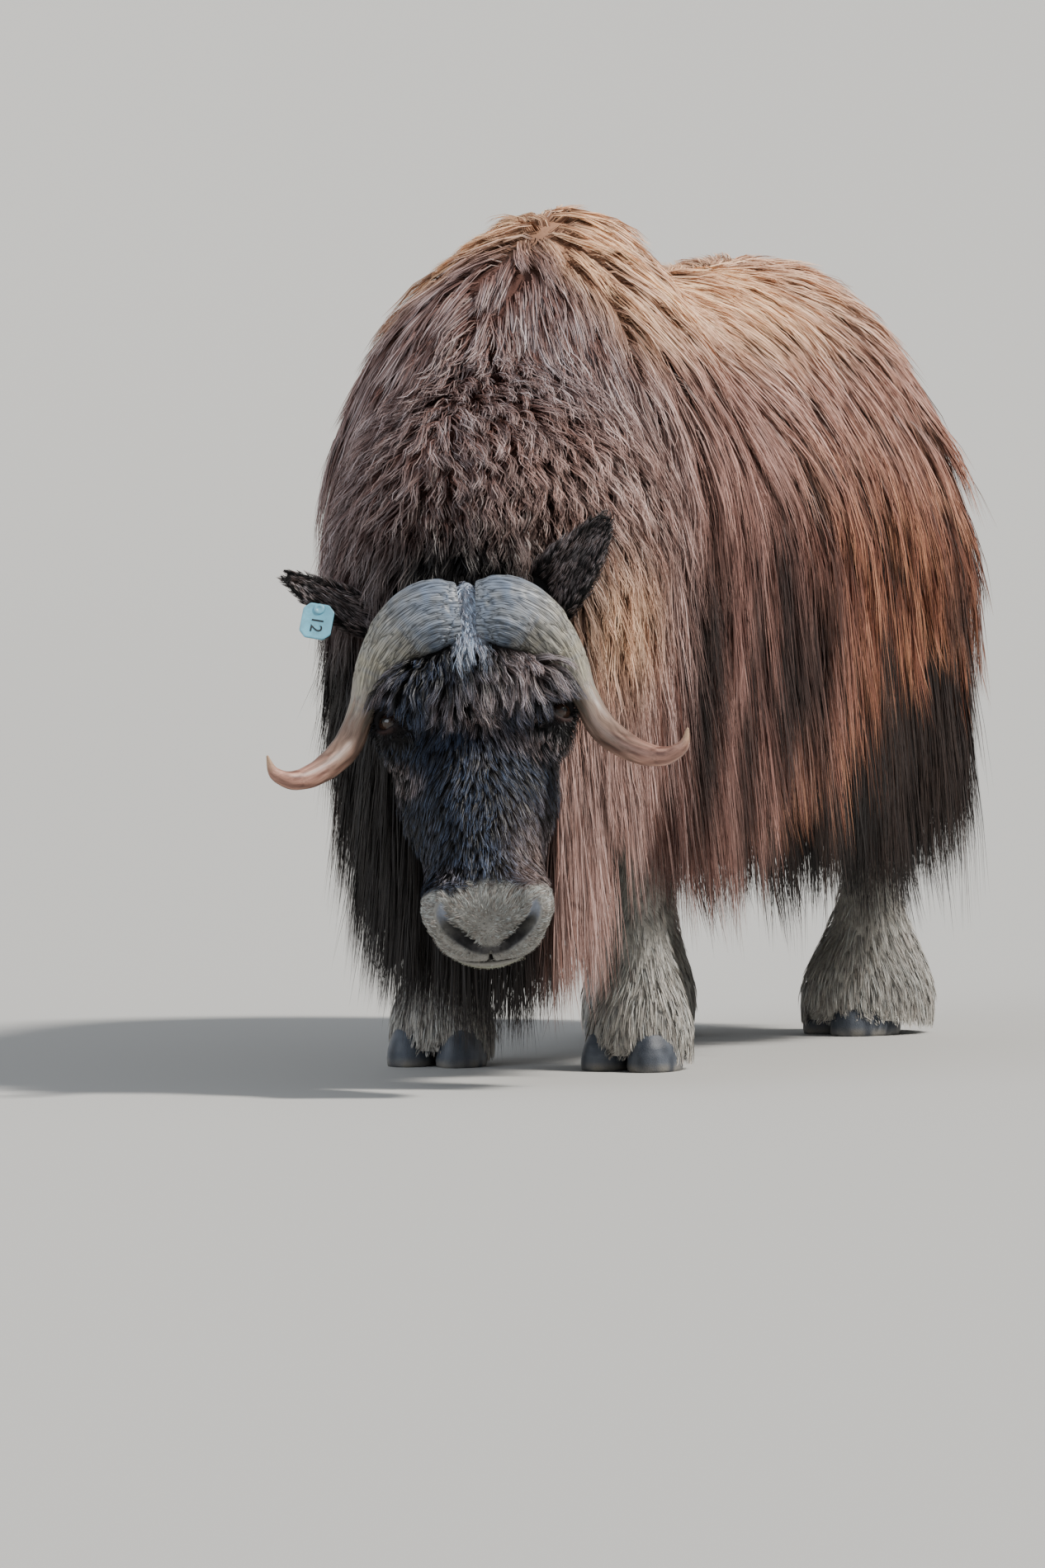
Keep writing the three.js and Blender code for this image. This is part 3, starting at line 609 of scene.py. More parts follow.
def head_marking(q, t):
    u, v, w = q.T
    deep = mix(BLACK, UMBER, t)
    # Painted sky reflection: the face's hair tips are blue-grey, most in a painted sheen down the middle of
    # the face
    sheen = mix(SLATE, STEEL, np.clip(0.5 + 0.8 * noise(q, 16, 8), 0, 1)[:, None])
    tips = over(SLATE, ASH, smoothstep(noise(q, 40, 7), -0.2, 0.9))
    tips = over(tips, sheen, bell(u, 0, 60) * smoothstep(v, 180, 280))
    colour = mix(BLACK, tips, smoothstep(t, 0.35, 1.0))
    # Painted sunlit patch: a rosy, lighter spot on the face's left side only
    sunlit_rosy = bell(u, 66, 30) * bell(v, 385, 62) * (0.75 + 0.5 * noise(q, 14, 9))
    colour = over(colour, mix(BROWN, srgb(196, 172, 166), t), np.clip(sunlit_rosy, 0, 0.85))
    # Painted highlight: the hair of the left brow only is paler, towards ASH
    brow = bell(u, 78, 34) * bell(v, 118, 26)
    colour = over(colour, mix(BROWN, ASH * 1.25, t), np.clip(0.8 * brow, 0, 1))
    # the pale muzzle, its upper edge drawn down at both sides of the middle
    wings = 24 * bell(np.abs(u), 44, 20) + 8 * noise(q, 12, 10)
    pale = mix(CREAM * 0.3, CREAM * 0.84, smoothstep(t, 0.1, 0.9)) * (1 + 0.2 * noise(q, 10, 12)[:, None])
    colour = over(colour, pale, smoothstep(v - wings, 412, 432))
    lip = smoothstep(v, 430, 470) * (1 - smoothstep(w, -92, -84))
    colour = over(colour, srgb(128, 130, 112), 0.6 * lip)
    colour = over(colour, deep, (1 - smoothstep(w, -118, -100)) * smoothstep(v, 300, 360))
    # bare strip, nostrils and mouth line
    snout = v > 380
    bare = srgb(58, 57, 58) * (1 + 0.5 * noise(q, 5, 13)[:, None])
    colour = over(colour, bare, snout * (1 - smoothstep(curve_gap(q, NOSE_STRIP), -2, 4)))
    # Nostrils: near black inside as painted shade, turning to a painted bluish-white wet highlight towards
    # their upper ends
    inside = over(srgb(16, 16, 19), srgb(128, 136, 152), smoothstep(w, -13, 0))
    colour = over(colour, inside, snout * (1 - smoothstep(curve_gap(q, NOSTRIL[:5], 9), -1.0, 1.6)))
    # Painted shade: a dark line along the carved mouth, in its crease
    line = 1 - smoothstep(curve_gap(q, MOUTH[:4], 9), 0.6, 2.8)
    colour = over(colour, srgb(22, 20, 20), snout * line)
    _, near_eye, _ = on_eye(q)
    lids = 1 - smoothstep(near_eye, EYE_RADIUS + 5, EYE_RADIUS + 11)
    colour = over(colour, srgb(20, 18, 20), lids)
    parting = np.exp(-((u / 22) ** 6)) * (1 - smoothstep(v, 84, 106))
    parting = parting * smoothstep(w, 14, 34) * smoothstep(v, -24, 4)
    return over(colour, WHITE * (0.7 + 0.3 * smoothstep(t, 0, 1)), parting)


def face_marking(p, t, place=None):
    return head_marking(to_head(p), t)


def leg_marking(p, t, place=None):
    tone = noise(p, 60, 11)
    pale = mix(PALE * 0.55, CREAM, smoothstep(t, 0, 0.8))
    pale = pale * (0.9 + 0.16 * tone[:, None]) * np.array([1.0, 0.98, 0.95])
    return over(pale, mix(BROWN, PLUM, t), smoothstep(p[:, 2] + 20 * tone, 400, 520))


# Materials
def new_material(name, roughness, specular):
    made = bpy.data.materials.new(name)
    made.use_nodes = True
    shader = made.node_tree.nodes["Principled BSDF"]
    shader.inputs["Roughness"].default_value = roughness
    shader.inputs["Specular IOR Level"].default_value = specular
    return made, made.node_tree, shader


def node(tree, kind, inputs, out, **settings):
    """One output of a new shader node, whose inputs are numbers or the outputs of other nodes."""
    made = tree.nodes.new("ShaderNode" + kind)
    for key, value in settings.items():
        setattr(made, key, value)
    for key, value in inputs.items():
        if isinstance(value, bpy.types.NodeSocket):
            tree.links.new(value, made.inputs[key])
        else:
            made.inputs[key].default_value = value
    return made.outputs[out]


def attribute(tree, name, out="Color"):
    return node(tree, "Attribute", {}, out, attribute_name=name)


def scaled(tree, vector, amount):
    return node(tree, "VectorMath", {0: vector, "Scale": amount}, "Vector", operation="SCALE")


def coat_material(name, roughness, specular, bump=0.0, scale=400.0):
    """Colour from the markings, with a little noise; bump for fur that lies flat."""
    made, tree, shader = new_material(name, roughness, specular)
    place = node(tree, "TexCoord", {}, "Object")
    grain = node(tree, "TexNoise", {"Vector": place, "Scale": scale, "Detail": 3.0}, "Fac")
    light = node(tree, "MapRange", {"Value": grain, "To Min": 0.7, "To Max": 1.3}, "Result")
    tree.links.new(scaled(tree, attribute(tree, "Marking"), light), shader.inputs["Base Color"])
    if bump:
        relief = node(tree, "Bump", {"Strength": bump, "Distance": 0.002, "Height": grain}, "Normal")
        tree.links.new(relief, shader.inputs["Normal"])
    return made


def make_object(name, points, faces, material, smooth=True, colours=None):
    """A mesh piece from arrays. faces is a list of index arrays, one for each number of corners."""
    mesh = bpy.data.meshes.new(name)
    faces = [np.asarray(f) for f in (faces if isinstance(faces, list) else [faces])]
    counts = np.concatenate([np.full(len(f), f.shape[1]) for f in faces])
    corners = np.concatenate([f.reshape(-1) for f in faces])
    mesh.vertices.add(len(points))
    mesh.vertices.foreach_set("co", np.asarray(points, np.float32).reshape(-1))
    mesh.loops.add(len(corners))
    mesh.loops.foreach_set("vertex_index", corners.astype(np.int32))
    mesh.polygons.add(len(counts))
    mesh.polygons.foreach_set("loop_start", (np.cumsum(counts) - counts).astype(np.int32))
    mesh.update(calc_edges=True)
    mesh.polygons.foreach_set("use_smooth", np.full(len(counts), smooth))
    if colours is not None:
        layer = mesh.color_attributes.new("Marking", "FLOAT_COLOR", "POINT")
        rgba = np.ones((len(points), 4), np.float32)
        rgba[:, :3] = np.clip(colours, 0, 1)
        layer.data.foreach_set("color", rgba.reshape(-1))
    mesh.materials.append(material)
    made = bpy.data.objects.new(name, mesh)
    bpy.context.scene.collection.objects.link(made)
    return made


# The flesh that one skin stands for
FLESH = "head ear_left ear_right neck torso hindquarters tail".split()
FLESH += ["leg_" + name for name in LEGS]

skin_finish = coat_material("skin", 0.75, 0.2, bump=0.5, scale=260.0)


def ear_distance(q):
    return np.minimum(swept(q, spline(LEFT_EAR, 10)), swept(q, spline(RIGHT_EAR, 10)))


def boxed(q, low, high):
    return ((q > low) & (q < high)).all(-1)


def head_near(q):
    """The plain distance to the head, far from it a large number."""
    d = np.full(len(q), 99.0)
    box = boxed(q, (-200, -130, -240), (200, 580, 130))
    d[box] = head_field(q[box], fine=False)
    return d


def without(points, quads, hidden):
    quads = quads[~hidden[quads].all(1)]
    used = np.unique(quads)
    index = np.zeros(len(points), int)
    index[used] = np.arange(len(used))
    return points[used], index[quads]


# One skin: the two surfaces overlap a little under the wool of the neck
body_points, body_quads = body_skin()
head_local, head_quads = head_skin()
body_points, body_quads = without(body_points, body_quads, head_near(to_head(body_points)) < -12)
head_local, head_quads = without(head_local, head_quads, body_field(from_head(head_local)) < -14)
skin_points = np.concatenate([body_points, from_head(head_local)])
skin_quads = np.concatenate([body_quads, head_quads + len(body_points)])


def skin_marking(p):
    q = to_head(p)
    on_head = 1 - smoothstep(head_near(q), 4, 20)
    box = boxed(q, (-290, -130, -130), (290, 100, 90))
    on_head[box] = np.maximum(on_head[box], 1 - smoothstep(ear_distance(q[box]), 4, 16))
    body, leg, head = (np.full((len(p), 1), share) for share in (0.12, 0.5, 0.3))
    on_body = 1 - smoothstep(body_field(p), 10, 40)
    colour = over(leg_marking(p, leg), body_marking(p, body), on_body)
    return over(colour, head_marking(q, head), on_head)


skin = make_object("skin", placed(skin_points), skin_quads, skin_finish, colours=skin_marking(skin_points))
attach(skin, "root")
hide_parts(*FLESH)


# Strands of the coat
def spread(points, quads, count, density):
    """Roots over the faces, by area and density."""
    a, b, c, d = (points[quads[:, i]] for i in range(4))
    centre = (a + b + c + d) / 4
    area = np.linalg.norm(np.cross(c - a, d - b), axis=1) / 2
    weight = np.cumsum(area * density(centre))
    picks = (np.arange(count) + rng.random(count)) / count * weight[-1]
    face = np.minimum(np.searchsorted(weight, picks), len(quads) - 1)
    s, t = rng.random((count, 1)), rng.random((count, 1))
    return mix(mix(a[face], b[face], s), mix(d[face], c[face], s), t)


def nearest(targets, points):
    tree = KDTree(len(targets))
    for i, p in enumerate(targets):
        tree.insert(p, i)
    tree.balance()
    return np.array([tree.find(p)[1] for p in points])


def trace(field, direction, root, length, lift, steps=12, sticks=None):
    """Paths over a field's surface and the outward directions along them."""
    p = root.copy()
    n = gradient(field, p)
    path, normals = [p.copy()], [n]
    for i in range(1, steps + 1):
        p = p + unit(direction(p, n)) * (length / steps)[:, None]
        clear = lift * math.sqrt(i / steps)
        d = field(p)
        out = gradient(field, p)
        push = (d < clear) | (True if sticks is None else sticks(n))
        p = p + out * np.where(push, clear - d, 0)[:, None]
        n = out
        path.append(p.copy())
        normals.append(n)
    return np.stack(path, 1), np.stack(normals, 1)


def along(values, index, t):
    """Rows of values read at shares t of the way along."""
    steps = values.shape[1] - 1
    s = np.clip(t, 0, 1) * steps
    i = np.minimum(s.astype(int), steps - 1)
    f = (s - i)[..., None]
    return values[index[:, None], i] * (1 - f) + values[index[:, None], i + 1] * f


# A share of the strands is drawn less to its tuft
LOOSE, LOOSE_SHARE = 0.5, 0.25
BLADE_PROFILE = (0, 0.15, 0.5, 0.8, 1), (0.7, 1, 0.85, 0.5, 0)
BLADE_ROLL = 0.9
PATCH = 0.003  # across each strand's place on the unwrap
RING_SHARES = {
    2: np.array([0, 0.5, 1.0]),
    3: np.array([0, 0.34, 0.68, 1.0]),
    4: np.array([0, 0.22, 0.48, 0.75, 1.0]),
    5: np.array([0, 0.16, 0.36, 0.58, 0.8, 1.0]),
}


def comb(roots, guides, guide_paths, guide_normals, rings, clump, loft, wave, tuft, short, curl=0, splay=0):
    """Ring centres and outward directions of every strand, its tuft and its guide.

    Each strand follows its tuft's nearest guide, and is drawn to the middle of the tuft towards the tip."""
    count = len(roots)
    middles = roots[rng.permutation(count)[: max(count // tuft, 1)]]
    own = nearest(middles, roots)
    guide = nearest(guides, middles)[own]
    share = rng.uniform(*short, len(middles))[own] * rng.uniform(0.88, 1.0, count)
    t = RING_SHARES[rings][None, :] * share[:, None]
    zero = np.zeros((count, 1))
    base = along(guide_paths, guide, t)
    out = unit(along(guide_normals, guide, t))
    ahead = along(guide_paths, guide, t + 0.04) - along(guide_paths, guide, t - 0.04)
    side = unit(np.cross(out, ahead))
    first = along(guide_paths, guide, zero)[:, 0]
    out0, side0 = out[:, 0], side[:, 0]
    ahead0 = np.cross(side0, out0)
    offset = roots - first
    centre = middles[own] - first
    a, a_middle = (offset * side0).sum(1), (centre * side0).sum(1)
    c, c_middle = (offset * ahead0).sum(1), (centre * ahead0).sum(1)
    b = (offset * out0).sum(1)
    clump = clump * (1 - LOOSE * (rng.random(count) < LOOSE_SHARE))
    pull = clump[:, None] * t**0.8
    across = a_middle[:, None] * (1 - 0.3 * t) + (a - a_middle)[:, None] * (1 - pull)
    forth = c_middle[:, None] + (c - c_middle)[:, None] * (1 - pull)
    phase = rng.uniform(0, 6.28, len(middles))[own][:, None]
    turns = rng.uniform(0.7, 1.3, len(middles))[own][:, None]
    rise = rng.uniform(*loft, len(middles))[own] * rng.uniform(0.7, 1.2, count)
    up = b[:, None] * (1 - t) + rise[:, None] * np.sqrt(t) + 0.5 * wave * t * np.cos(phase + 5 * turns * t)
    if curl:
        own_phase = phase + rng.uniform(-0.9, 0.9, (count, 1))
        across = across + curl * np.sin(own_phase + 7.5 * t) * np.sqrt(t)
        up = up + curl * np.cos(own_phase + 7.5 * t) * np.sqrt(t)
    reach = np.linalg.norm(guide_paths[:, -1] - guide_paths[:, 0], axis=1)[guide] * share
    fray = splay * np.clip(reach / 150, 0.3, 1.8)
    fray_across, fray_up = (fray * rng.standard_normal((2, count)))[..., None]
    across = across + fray_across * t**1.4
    up = up + 0.7 * np.abs(fray_up) * t**1.4
    points = base + side * across[..., None] + ahead0[:, None] * forth[..., None] + out * up[..., None]
    return points, out, own, guide


def cleared(points, field, least):
    """The strands' rings pushed clear of the skin."""
    flat = points[:, 1:].reshape(-1, 3)
    d = field(flat)
    low = d < least
    flat[low] += gradient(field, flat[low]) * (least - d[low])[:, None]
    return np.concatenate([points[:, :1], flat.reshape(len(points), -1, 3)], 1)


def coat(name, points, out, wide, colour_at, unwrap, material):
    """One piece: each strand is a thin tapered blade, turned a little about its own length."""
    count, rings = points.shape[:2]
    steps = rings - 1
    tangent = np.empty_like(points)
    tangent[:, 1:-1] = points[:, 2:] - points[:, :-2]
    tangent[:, 0] = points[:, 1] - points[:, 0]
    tangent[:, -1] = points[:, -1] - points[:, -2]
    side = unit(np.cross(out, tangent))
    normal = unit(np.cross(tangent, side))
    roll = rng.uniform(-BLADE_ROLL, BLADE_ROLL, (count, 1, 1))
    side = side * np.cos(roll) + normal * np.sin(roll)
    shares = RING_SHARES[steps]
    w = wide[:, None, None] * np.interp(shares, *BLADE_PROFILE)[None, :, None]
    left = (points - side * w)[:, :-1]
    right = (points + side * w)[:, :-1]
    rows = np.stack([left, right], 2).reshape(count, steps * 2, 3)
    vertices = np.concatenate([rows, points[:, -1:]], 1)
    per = steps * 2 + 1
    start = (np.arange(count) * per)[:, None]
    quads = np.array([(2 * i, 2 * i + 2, 2 * i + 3, 2 * i + 1) for i in range(steps - 1)])
    quads = (start[:, None] + quads[None]).reshape(-1, 4)
    tips = start + np.array([[per - 3, per - 1, per - 2]])
    shade = [colour_at(share, points[:, i]) for i, share in enumerate(shares)]
    colours = np.concatenate([np.repeat(c[:, None], 2, 1) for c in shade[:-1]] + [shade[-1][:, None]], 1)
    faces = [quads, tips]
    made = make_object(name, placed(vertices.reshape(-1, 3)), faces, material, colours=colours.reshape(-1, 3))
    place = unwrap(points[:, 0])
    sides = np.array([-1, 1]) * PATCH / 2
    patch = [np.stack([sides, np.full(2, share * PATCH)], 1) for share in shares[:-1]]
    patch = np.concatenate(patch + [np.array([[0, PATCH]])])
    uv = (place[:, None] + patch[None]).reshape(-1, 2)
    corners = np.concatenate([f.reshape(-1) for f in faces])
    made.data.uv_layers.new(name="OFBake").data.foreach_set("uv", uv[corners].astype(np.float32).reshape(-1))
    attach(made, "root")


# Unwraps of the skin's own shape: body, head and each leg about their own axes
def unwrap_body(p):
    y = np.clip((p[:, 1] + 660) / 1760, 0, 1)
    axis_x = np.interp(p[:, 1], [-520, 0], [100, 0])
    axis_z = np.interp(p[:, 1], [-520, 0], [600, 740])
    angle = np.arctan2(p[:, 0] - axis_x, p[:, 2] - axis_z) / (2 * math.pi) + 0.5
    return np.stack([0.01 + 0.97 * y, 0.34 + 0.65 * angle], 1)


def unwrap_head(p):
    q = to_head(p)
    length = np.clip((q[:, 1] + 130) / 680, 0, 1)
    angle = np.arctan2(q[:, 0], q[:, 2] + 70) / (2 * math.pi) + 0.5
    return np.stack([0.01 + 0.47 * length, 0.01 + 0.31 * angle], 1)


def unwrap_leg(name):
    column = list(LEGS).index(name)
    foot = LEGS[name][2]

    def unwrap(p):
        angle = np.arctan2(p[:, 0] - foot[0], p[:, 1] - foot[1]) / (2 * math.pi) + 0.5
        height = np.clip(p[:, 2] / 660, 0, 1)
        return np.stack([0.5 + 0.12 * column + 0.11 * angle, 0.01 + 0.31 * height], 1)

    return unwrap


# Guard hair of the body and neck
BODY_STRANDS, BODY_GUIDES = 138000, 3600
COAT_PIECE = 195000  # triangles at most
BEARD_HEM, CURTAIN_HEM, LEG_HEM, SKIRT_HEM, REAR_HEM = 20, 125, 375, 165, 250
coat_finish = coat_material("coat", 0.5, 0.35)


def hem_below(p):
    x, y, _ = p.T
    aside = np.clip(np.abs(x - 70) / 150, 0, 1)
    hem = np.where(y > 860, REAR_HEM, SKIRT_HEM)
    before_leg = np.abs(np.abs(x) - 145) < 92
    hem = np.where((y < -30) & (before_leg | (y < -390)), LEG_HEM, hem)
    beard = (y < -360) & (x < 225)
    return np.where(beard, BEARD_HEM + (CURTAIN_HEM - BEARD_HEM) * aside, hem)


def neck_share(p):
    """How far a place is on the neck, and how far round it from the crest."""
    start, end = np.array([0, 0, 850.0]), np.array([120, -520, 560.0])
    axis = unit(end - start)
    d = p - start
    t = d @ axis / np.linalg.norm(end - start)
    r = unit(d - (d @ axis)[:, None] * axis)
    up = unit(UP - (UP @ axis) * axis)
    return t, np.degrees(np.arccos(np.clip(r @ up, -1, 1)))


def hair_length(p):
    angle = np.degrees(np.arctan2(np.abs(p[:, 0]), p[:, 2] - 740))
    trunk = np.interp(angle, [0, 20, 45, 70, 95, 125, 180], [105, 140, 215, 320, 420, 400, 200])
    t, round_neck = neck_share(p)
    neck = np.interp(round_neck, [0, 45, 80, 120, 180], [70, 100, 230, 420, 460])
    return mix(trunk, neck, smoothstep(t, 0.16, 0.36))


def hang(p, n):
    """Down the slope, with a lie to the rear, ahead on the neck, and plumb where it turns under."""
    slope = DOWN - n * (n @ DOWN)[:, None]
    down = np.where(n[:, 2:] < 0, DOWN, slope)
    side = np.clip(p[:, :1] / 50, -1, 1)
    on_neck = smoothstep(-p[:, 1:2], 60, 260)
    lie = np.concatenate([0.2 * side, mix(0.42, -0.3, on_neck), 0 * side], 1)
    swirl = np.stack([noise(p, 130, 21), noise(p, 130, 22), 0 * p[:, 0]], 1)
    return down + (lie + 0.3 * swirl) * (np.maximum(n[:, 2:], 0) + 0.14)


def crossing(points):
    """Which strands would pass through the head, the horns or the ears, or in front of them."""
    q = to_head(points.reshape(-1, 3))
    near = boxed(q, (-330, -150, -130), (330, 340, 150))
    gap = np.full(len(q), 99.0)
    gap[near] = np.minimum(horn_field(q[near]) - 3, ear_distance(q[near]) - 1)
    front = boxed(q, (-190, 5, 34), (190, 340, 150))
    left_ear = boxed(q, (95, -150, 5), (235, 60, 150)) & (gap < 30)
    hit = (head_near(q) < 1.5) | (gap < 0) | front | left_ear
    return hit.reshape(points.shape[:2])[:, 1:].any(1)


def wool_share(p, low, high, full):
    """Where the wool of the neck grows: from a share of its length on, down to an angle from the crest."""
    t, round_neck = neck_share(p)
    return smoothstep(t, low, 0.3) * (1 - smoothstep(round_neck, high, full))


def body_density(c):
    """Denser on the neck, the throat and the crest, sparse on the belly, and none on the legs."""
    on_trunk = (c[:, 2] >= 330) & (body_field(c) <= 25)
    steep = gradient(body_field, c)[:, 2]
    t, round_neck = neck_share(c)
    throat = smoothstep(t, 0.3, 0.6) * smoothstep(round_neck, 90, 120)
    belly = np.maximum(np.where(steep < -0.75, 0.25, 1.0), np.minimum(2 * throat, 1))
    more = 0.9 * wool_share(c, 0.15, 70, 110) + 1.6 * throat + 1.2 * smoothstep(steep, 0.8, 0.98)
    return on_trunk * belly * (1 + more)


def body_coat():
    roots = spread(body_points, body_quads, BODY_STRANDS, body_density)
    roots = roots[head_near(to_head(roots)) > 0]
    guides = spread(body_points, body_quads, BODY_GUIDES, body_density)
    count = len(guides)
    x, y, z = guides.T
    low_root = (y > 60) & (z < outer_hem(guides) + rng.uniform(20, 200, count))
    inner = (rng.random(count) < 0.42) | low_root
    length = hair_length(guides) * rng.uniform(0.82, 1.2, count)
    hem = hem_below(guides) * rng.uniform(0.82, 1.15, count)
    # longer hair hangs from the shoulders, before the gap in the flank
    shoulder = bell(y, -140, 70) * smoothstep(np.abs(x), 130, 190)
    shoulder = shoulder * smoothstep(z, 480, 560) * (1 - smoothstep(z, 760, 860))
    fall = (z - 190) * rng.uniform(0.8, 1.05, count)
    length = mix(length, np.maximum(length, fall), shoulder)
    hem = mix(hem, np.minimum(hem, 190), shoulder)
    outer = outer_hem(guides) * rng.uniform(0.8, 1.15, count)
    hem = np.where((y > 60) & ~inner, np.maximum(hem, outer), hem)
    length = np.maximum(np.minimum(length, z - hem), 45)
    steep = np.clip(gradient(body_field, guides)[:, 2], -1, 1)
    lift = np.interp(steep, [-0.2, 0.2, 0.7, 1], [32, 36, 12, 5]) * rng.uniform(0.7, 1.3, count)
    lift = mix(np.where(inner, 0.35 * lift, lift), 14.0, wool_share(guides, 0.12, 70, 110))
    paths, normals = trace(body_field, hang, guides, length, lift, sticks=lambda m: m[:, 2] > 0.2)
    normals[..., 2] = np.maximum(normals[..., 2], 0)
    woolly = wool_share(roots, 0.12, 65, 100) > rng.random(len(roots))
    kinds = (
        ("guard", ~woolly, (0.5, 1.25), (4, 0.55, (1, 14), 9.0, 9, (0.66, 1.06), 1.6, 9.0)),
        ("wool", woolly, (0.5, 1.05), (5, 0.55, (4, 30), 3.0, 8, (0.55, 1.1), 6.5, 9.0)),
    )
    made = []
    for name, part, size, ways in kinds:
        own = roots[part]
        points, out, tuft, guide = comb(own, guides, paths, normals, *ways)
        points = cleared(points, body_field, 3.0)
        blocked = crossing(points)
        for share in (0.6, 0.35, 0.2, 0.1):
            points[blocked] = mix(points[blocked][:, :1], points[blocked], share)
            blocked[blocked] = crossing(points[blocked])
        points[:, 0] -= out[:, 0] * 6
        keep = ~blocked & (points[..., 2].min(1) > 30)
        made.append((name, size, own[keep], points[keep], out[keep], tuft[keep], inner[guide[keep]]))
    return made


def tinted(rule, roots, tuft, spread_by=0.22, plain_share=0.5):
    """The marking of each strand, varied from tuft to tuft and strand to strand."""
    count = len(tuft)
    shared = rng.standard_normal(tuft.max() + 1)[tuft]
    light = 1 + 0.6 * spread_by * shared + spread_by * rng.standard_normal(count)
    light = np.clip(light, 0.5, 1.35)[:, None]
    plain = rng.random(count) < plain_share
    reach = np.where(plain, 0.55, 1.0)[:, None]
    warmth = np.array([0.85, 1.15, 1.3])

    def colour_at(t, place):
        return rule(roots, t * reach, place) * light ** warmth

    return colour_at


def darker(rule, inner):
    """The marking with the hair of the lower layer near black."""

    def marking(p, t, place):
        deep = mix(BLACK, UMBER, 0.7 * t)
        share = inner * (0.3 + 0.65 * smoothstep(p[:, 1], -60, 300)) * (1 - smoothstep(p[:, 2], 860, 1040))
        return mix(rule(p, t, place), deep, share[:, None])

    return marking


for kind, size, roots, points, out, tuft, inner in body_coat():
    order = np.argsort(roots[:, 1])
    each = COAT_PIECE // (2 * points.shape[1] - 3)
    for number, start in enumerate(range(0, len(order), each)):
        part = order[start : start + each]
        wide = rng.uniform(*size, len(part))
        rule = tinted(darker(body_marking, inner[part]), roots[part], tuft[part])
        name = f"{kind}_{number + 1}"
        coat(name, points[part], out[part], wide, rule, unwrap_body, coat_finish)


# Fur of the face
FACE_STRANDS = 40000
EAR_STRANDS = 9000
LEG_STRANDS = 9000


def face_direction(p, n):
    """Down the face and outwards, up and outwards over the muzzle, and away from the eyes beside them."""
    q = to_head(p)
    u, v, w = q.T
    down = np.stack([0.4 * u / 80, np.ones(len(u)), -0.25 * np.ones(len(u))], 1)
    fan = np.stack([u, np.minimum(v - 492, -8), np.full(len(u), -10.0)], 1)
    d = over(unit(down), unit(fan), smoothstep(v, 415, 440))
    d = d + 0.35 * np.stack([noise(q, 26, 31), noise(q, 26, 32), 0 * u], 1)
    from_eye, away, _ = on_eye(q)
    from_eye[:, 0] *= np.sign(u)
    d = over(d, unit(from_eye), 0.85 * (1 - smoothstep(away, 26, 52)))
    return d @ HEAD_AXES


def head_world(p):
    return head_field(to_head(p))


def face_length(q):
    u, v, w = q.T
    down_face = [20, 84, 96, 125, 165, 230, 330, 400, 430, 490, 500]
    length = np.interp(v, down_face, [15, 15, 34, 60, 44, 32, 27, 22, 14, 9, 5])
    side = smoothstep(np.abs(u), 70, 110) * (1 - smoothstep(v, 330, 420))
    length = mix(length, length * 0.8 + 4, side)
    length = mix(length, 2.5, smoothstep(-w, 40, 58) * smoothstep(v, 440, 470))
    return length * (1 - 0.65 * bell(np.abs(u), 114, 34) * bell(v, 181, 30))


def face_density(c):
    """None on the eyes, horns, nostrils, bare strip and mouth, denser on the brow, crown and muzzle."""
    q = to_head(c)
    u, v, w = q.T
    _, away, before = on_eye(q)
    parting = (np.abs(u) < 16) & (v < 100) & (w > 25)
    keep = (away > EYE_RADIUS + 2) & ~before & ((horn_field(q) > 0) | parting) & (np.abs(head_near(q)) < 12)
    keep &= body_field(c) > -10
    snout = v > 400
    keep[snout] &= curve_gap(q[snout], NOSE_STRIP) > 0
    keep[snout] &= curve_gap(q[snout], NOSTRIL) > 0.8
    keep[snout] &= curve_gap(q[snout], MOUTH[:4], 9) > 5
    front = 1 + 1.2 * smoothstep(w, -90, -20) + 1.2 * smoothstep(v, 400, 440)
    brow = bell(v, 120, 40) * (w > 0)
    crown = 2.5 * (np.abs(u) < 26) * (v < 100)
    lips = smoothstep(-w, 46, 60) * smoothstep(v, 440, 470)
    return keep * (front + 1.2 * brow + crown) * (1 - 0.6 * lips)


def face_coat():
    roots = spread(head_points, head_quads, FACE_STRANDS, face_density)
    guides = spread(head_points, head_quads, FACE_STRANDS // 14, face_density)
    _, v, w = to_head(guides).T
    length = face_length(to_head(guides)) * rng.uniform(0.75, 1.3, len(guides))
    lift = 0.2 * length + 7 * bell(v, 116, 30) * (w > 0)
    lift[v < 90] = 3.0
    paths, normals = trace(head_world, face_direction, guides, length, lift, steps=6)
    u, v, w = to_head(roots).T
    short = v > 415
    brow = (v > 88) & (v < 172) & (w > 5) & (np.abs(u) < 100)
    kinds = (
        ("face_fur", ~short & ~brow, (0.26, 0.55), (3, 0.32, (0.5, 4.5), 2.0, 7, (0.7, 1.1), 0.7, 3.4)),
        ("forelock", brow, (0.3, 0.65), (4, 0.6, (3.0, 18.0), 5.0, 12, (0.7, 1.1), 3.0, 8.0)),
        ("muzzle_fur", short, (0.28, 0.5), (2, 0.3, (0.3, 1.8), 0.6, 6, (0.7, 1.1), 0.0, 1.2)),
    )
    for name, part, size, ways in kinds:
        own = roots[part]
        points, out, tuft, _ = comb(own, guides, paths, normals, *ways)
        points = cleared(points, head_world, 0.8)
        points[:, 0] -= out[:, 0] * 1.5
        rule = tinted(face_marking, own, tuft, 0.3, 0.45)
        coat(name, points, out, rng.uniform(*size, len(own)), rule, unwrap_head, coat_finish)


def ears_world(p):
    q = to_head(p)
    return np.minimum(ear_field(q, LEFT_EAR), ear_field(q, RIGHT_EAR))


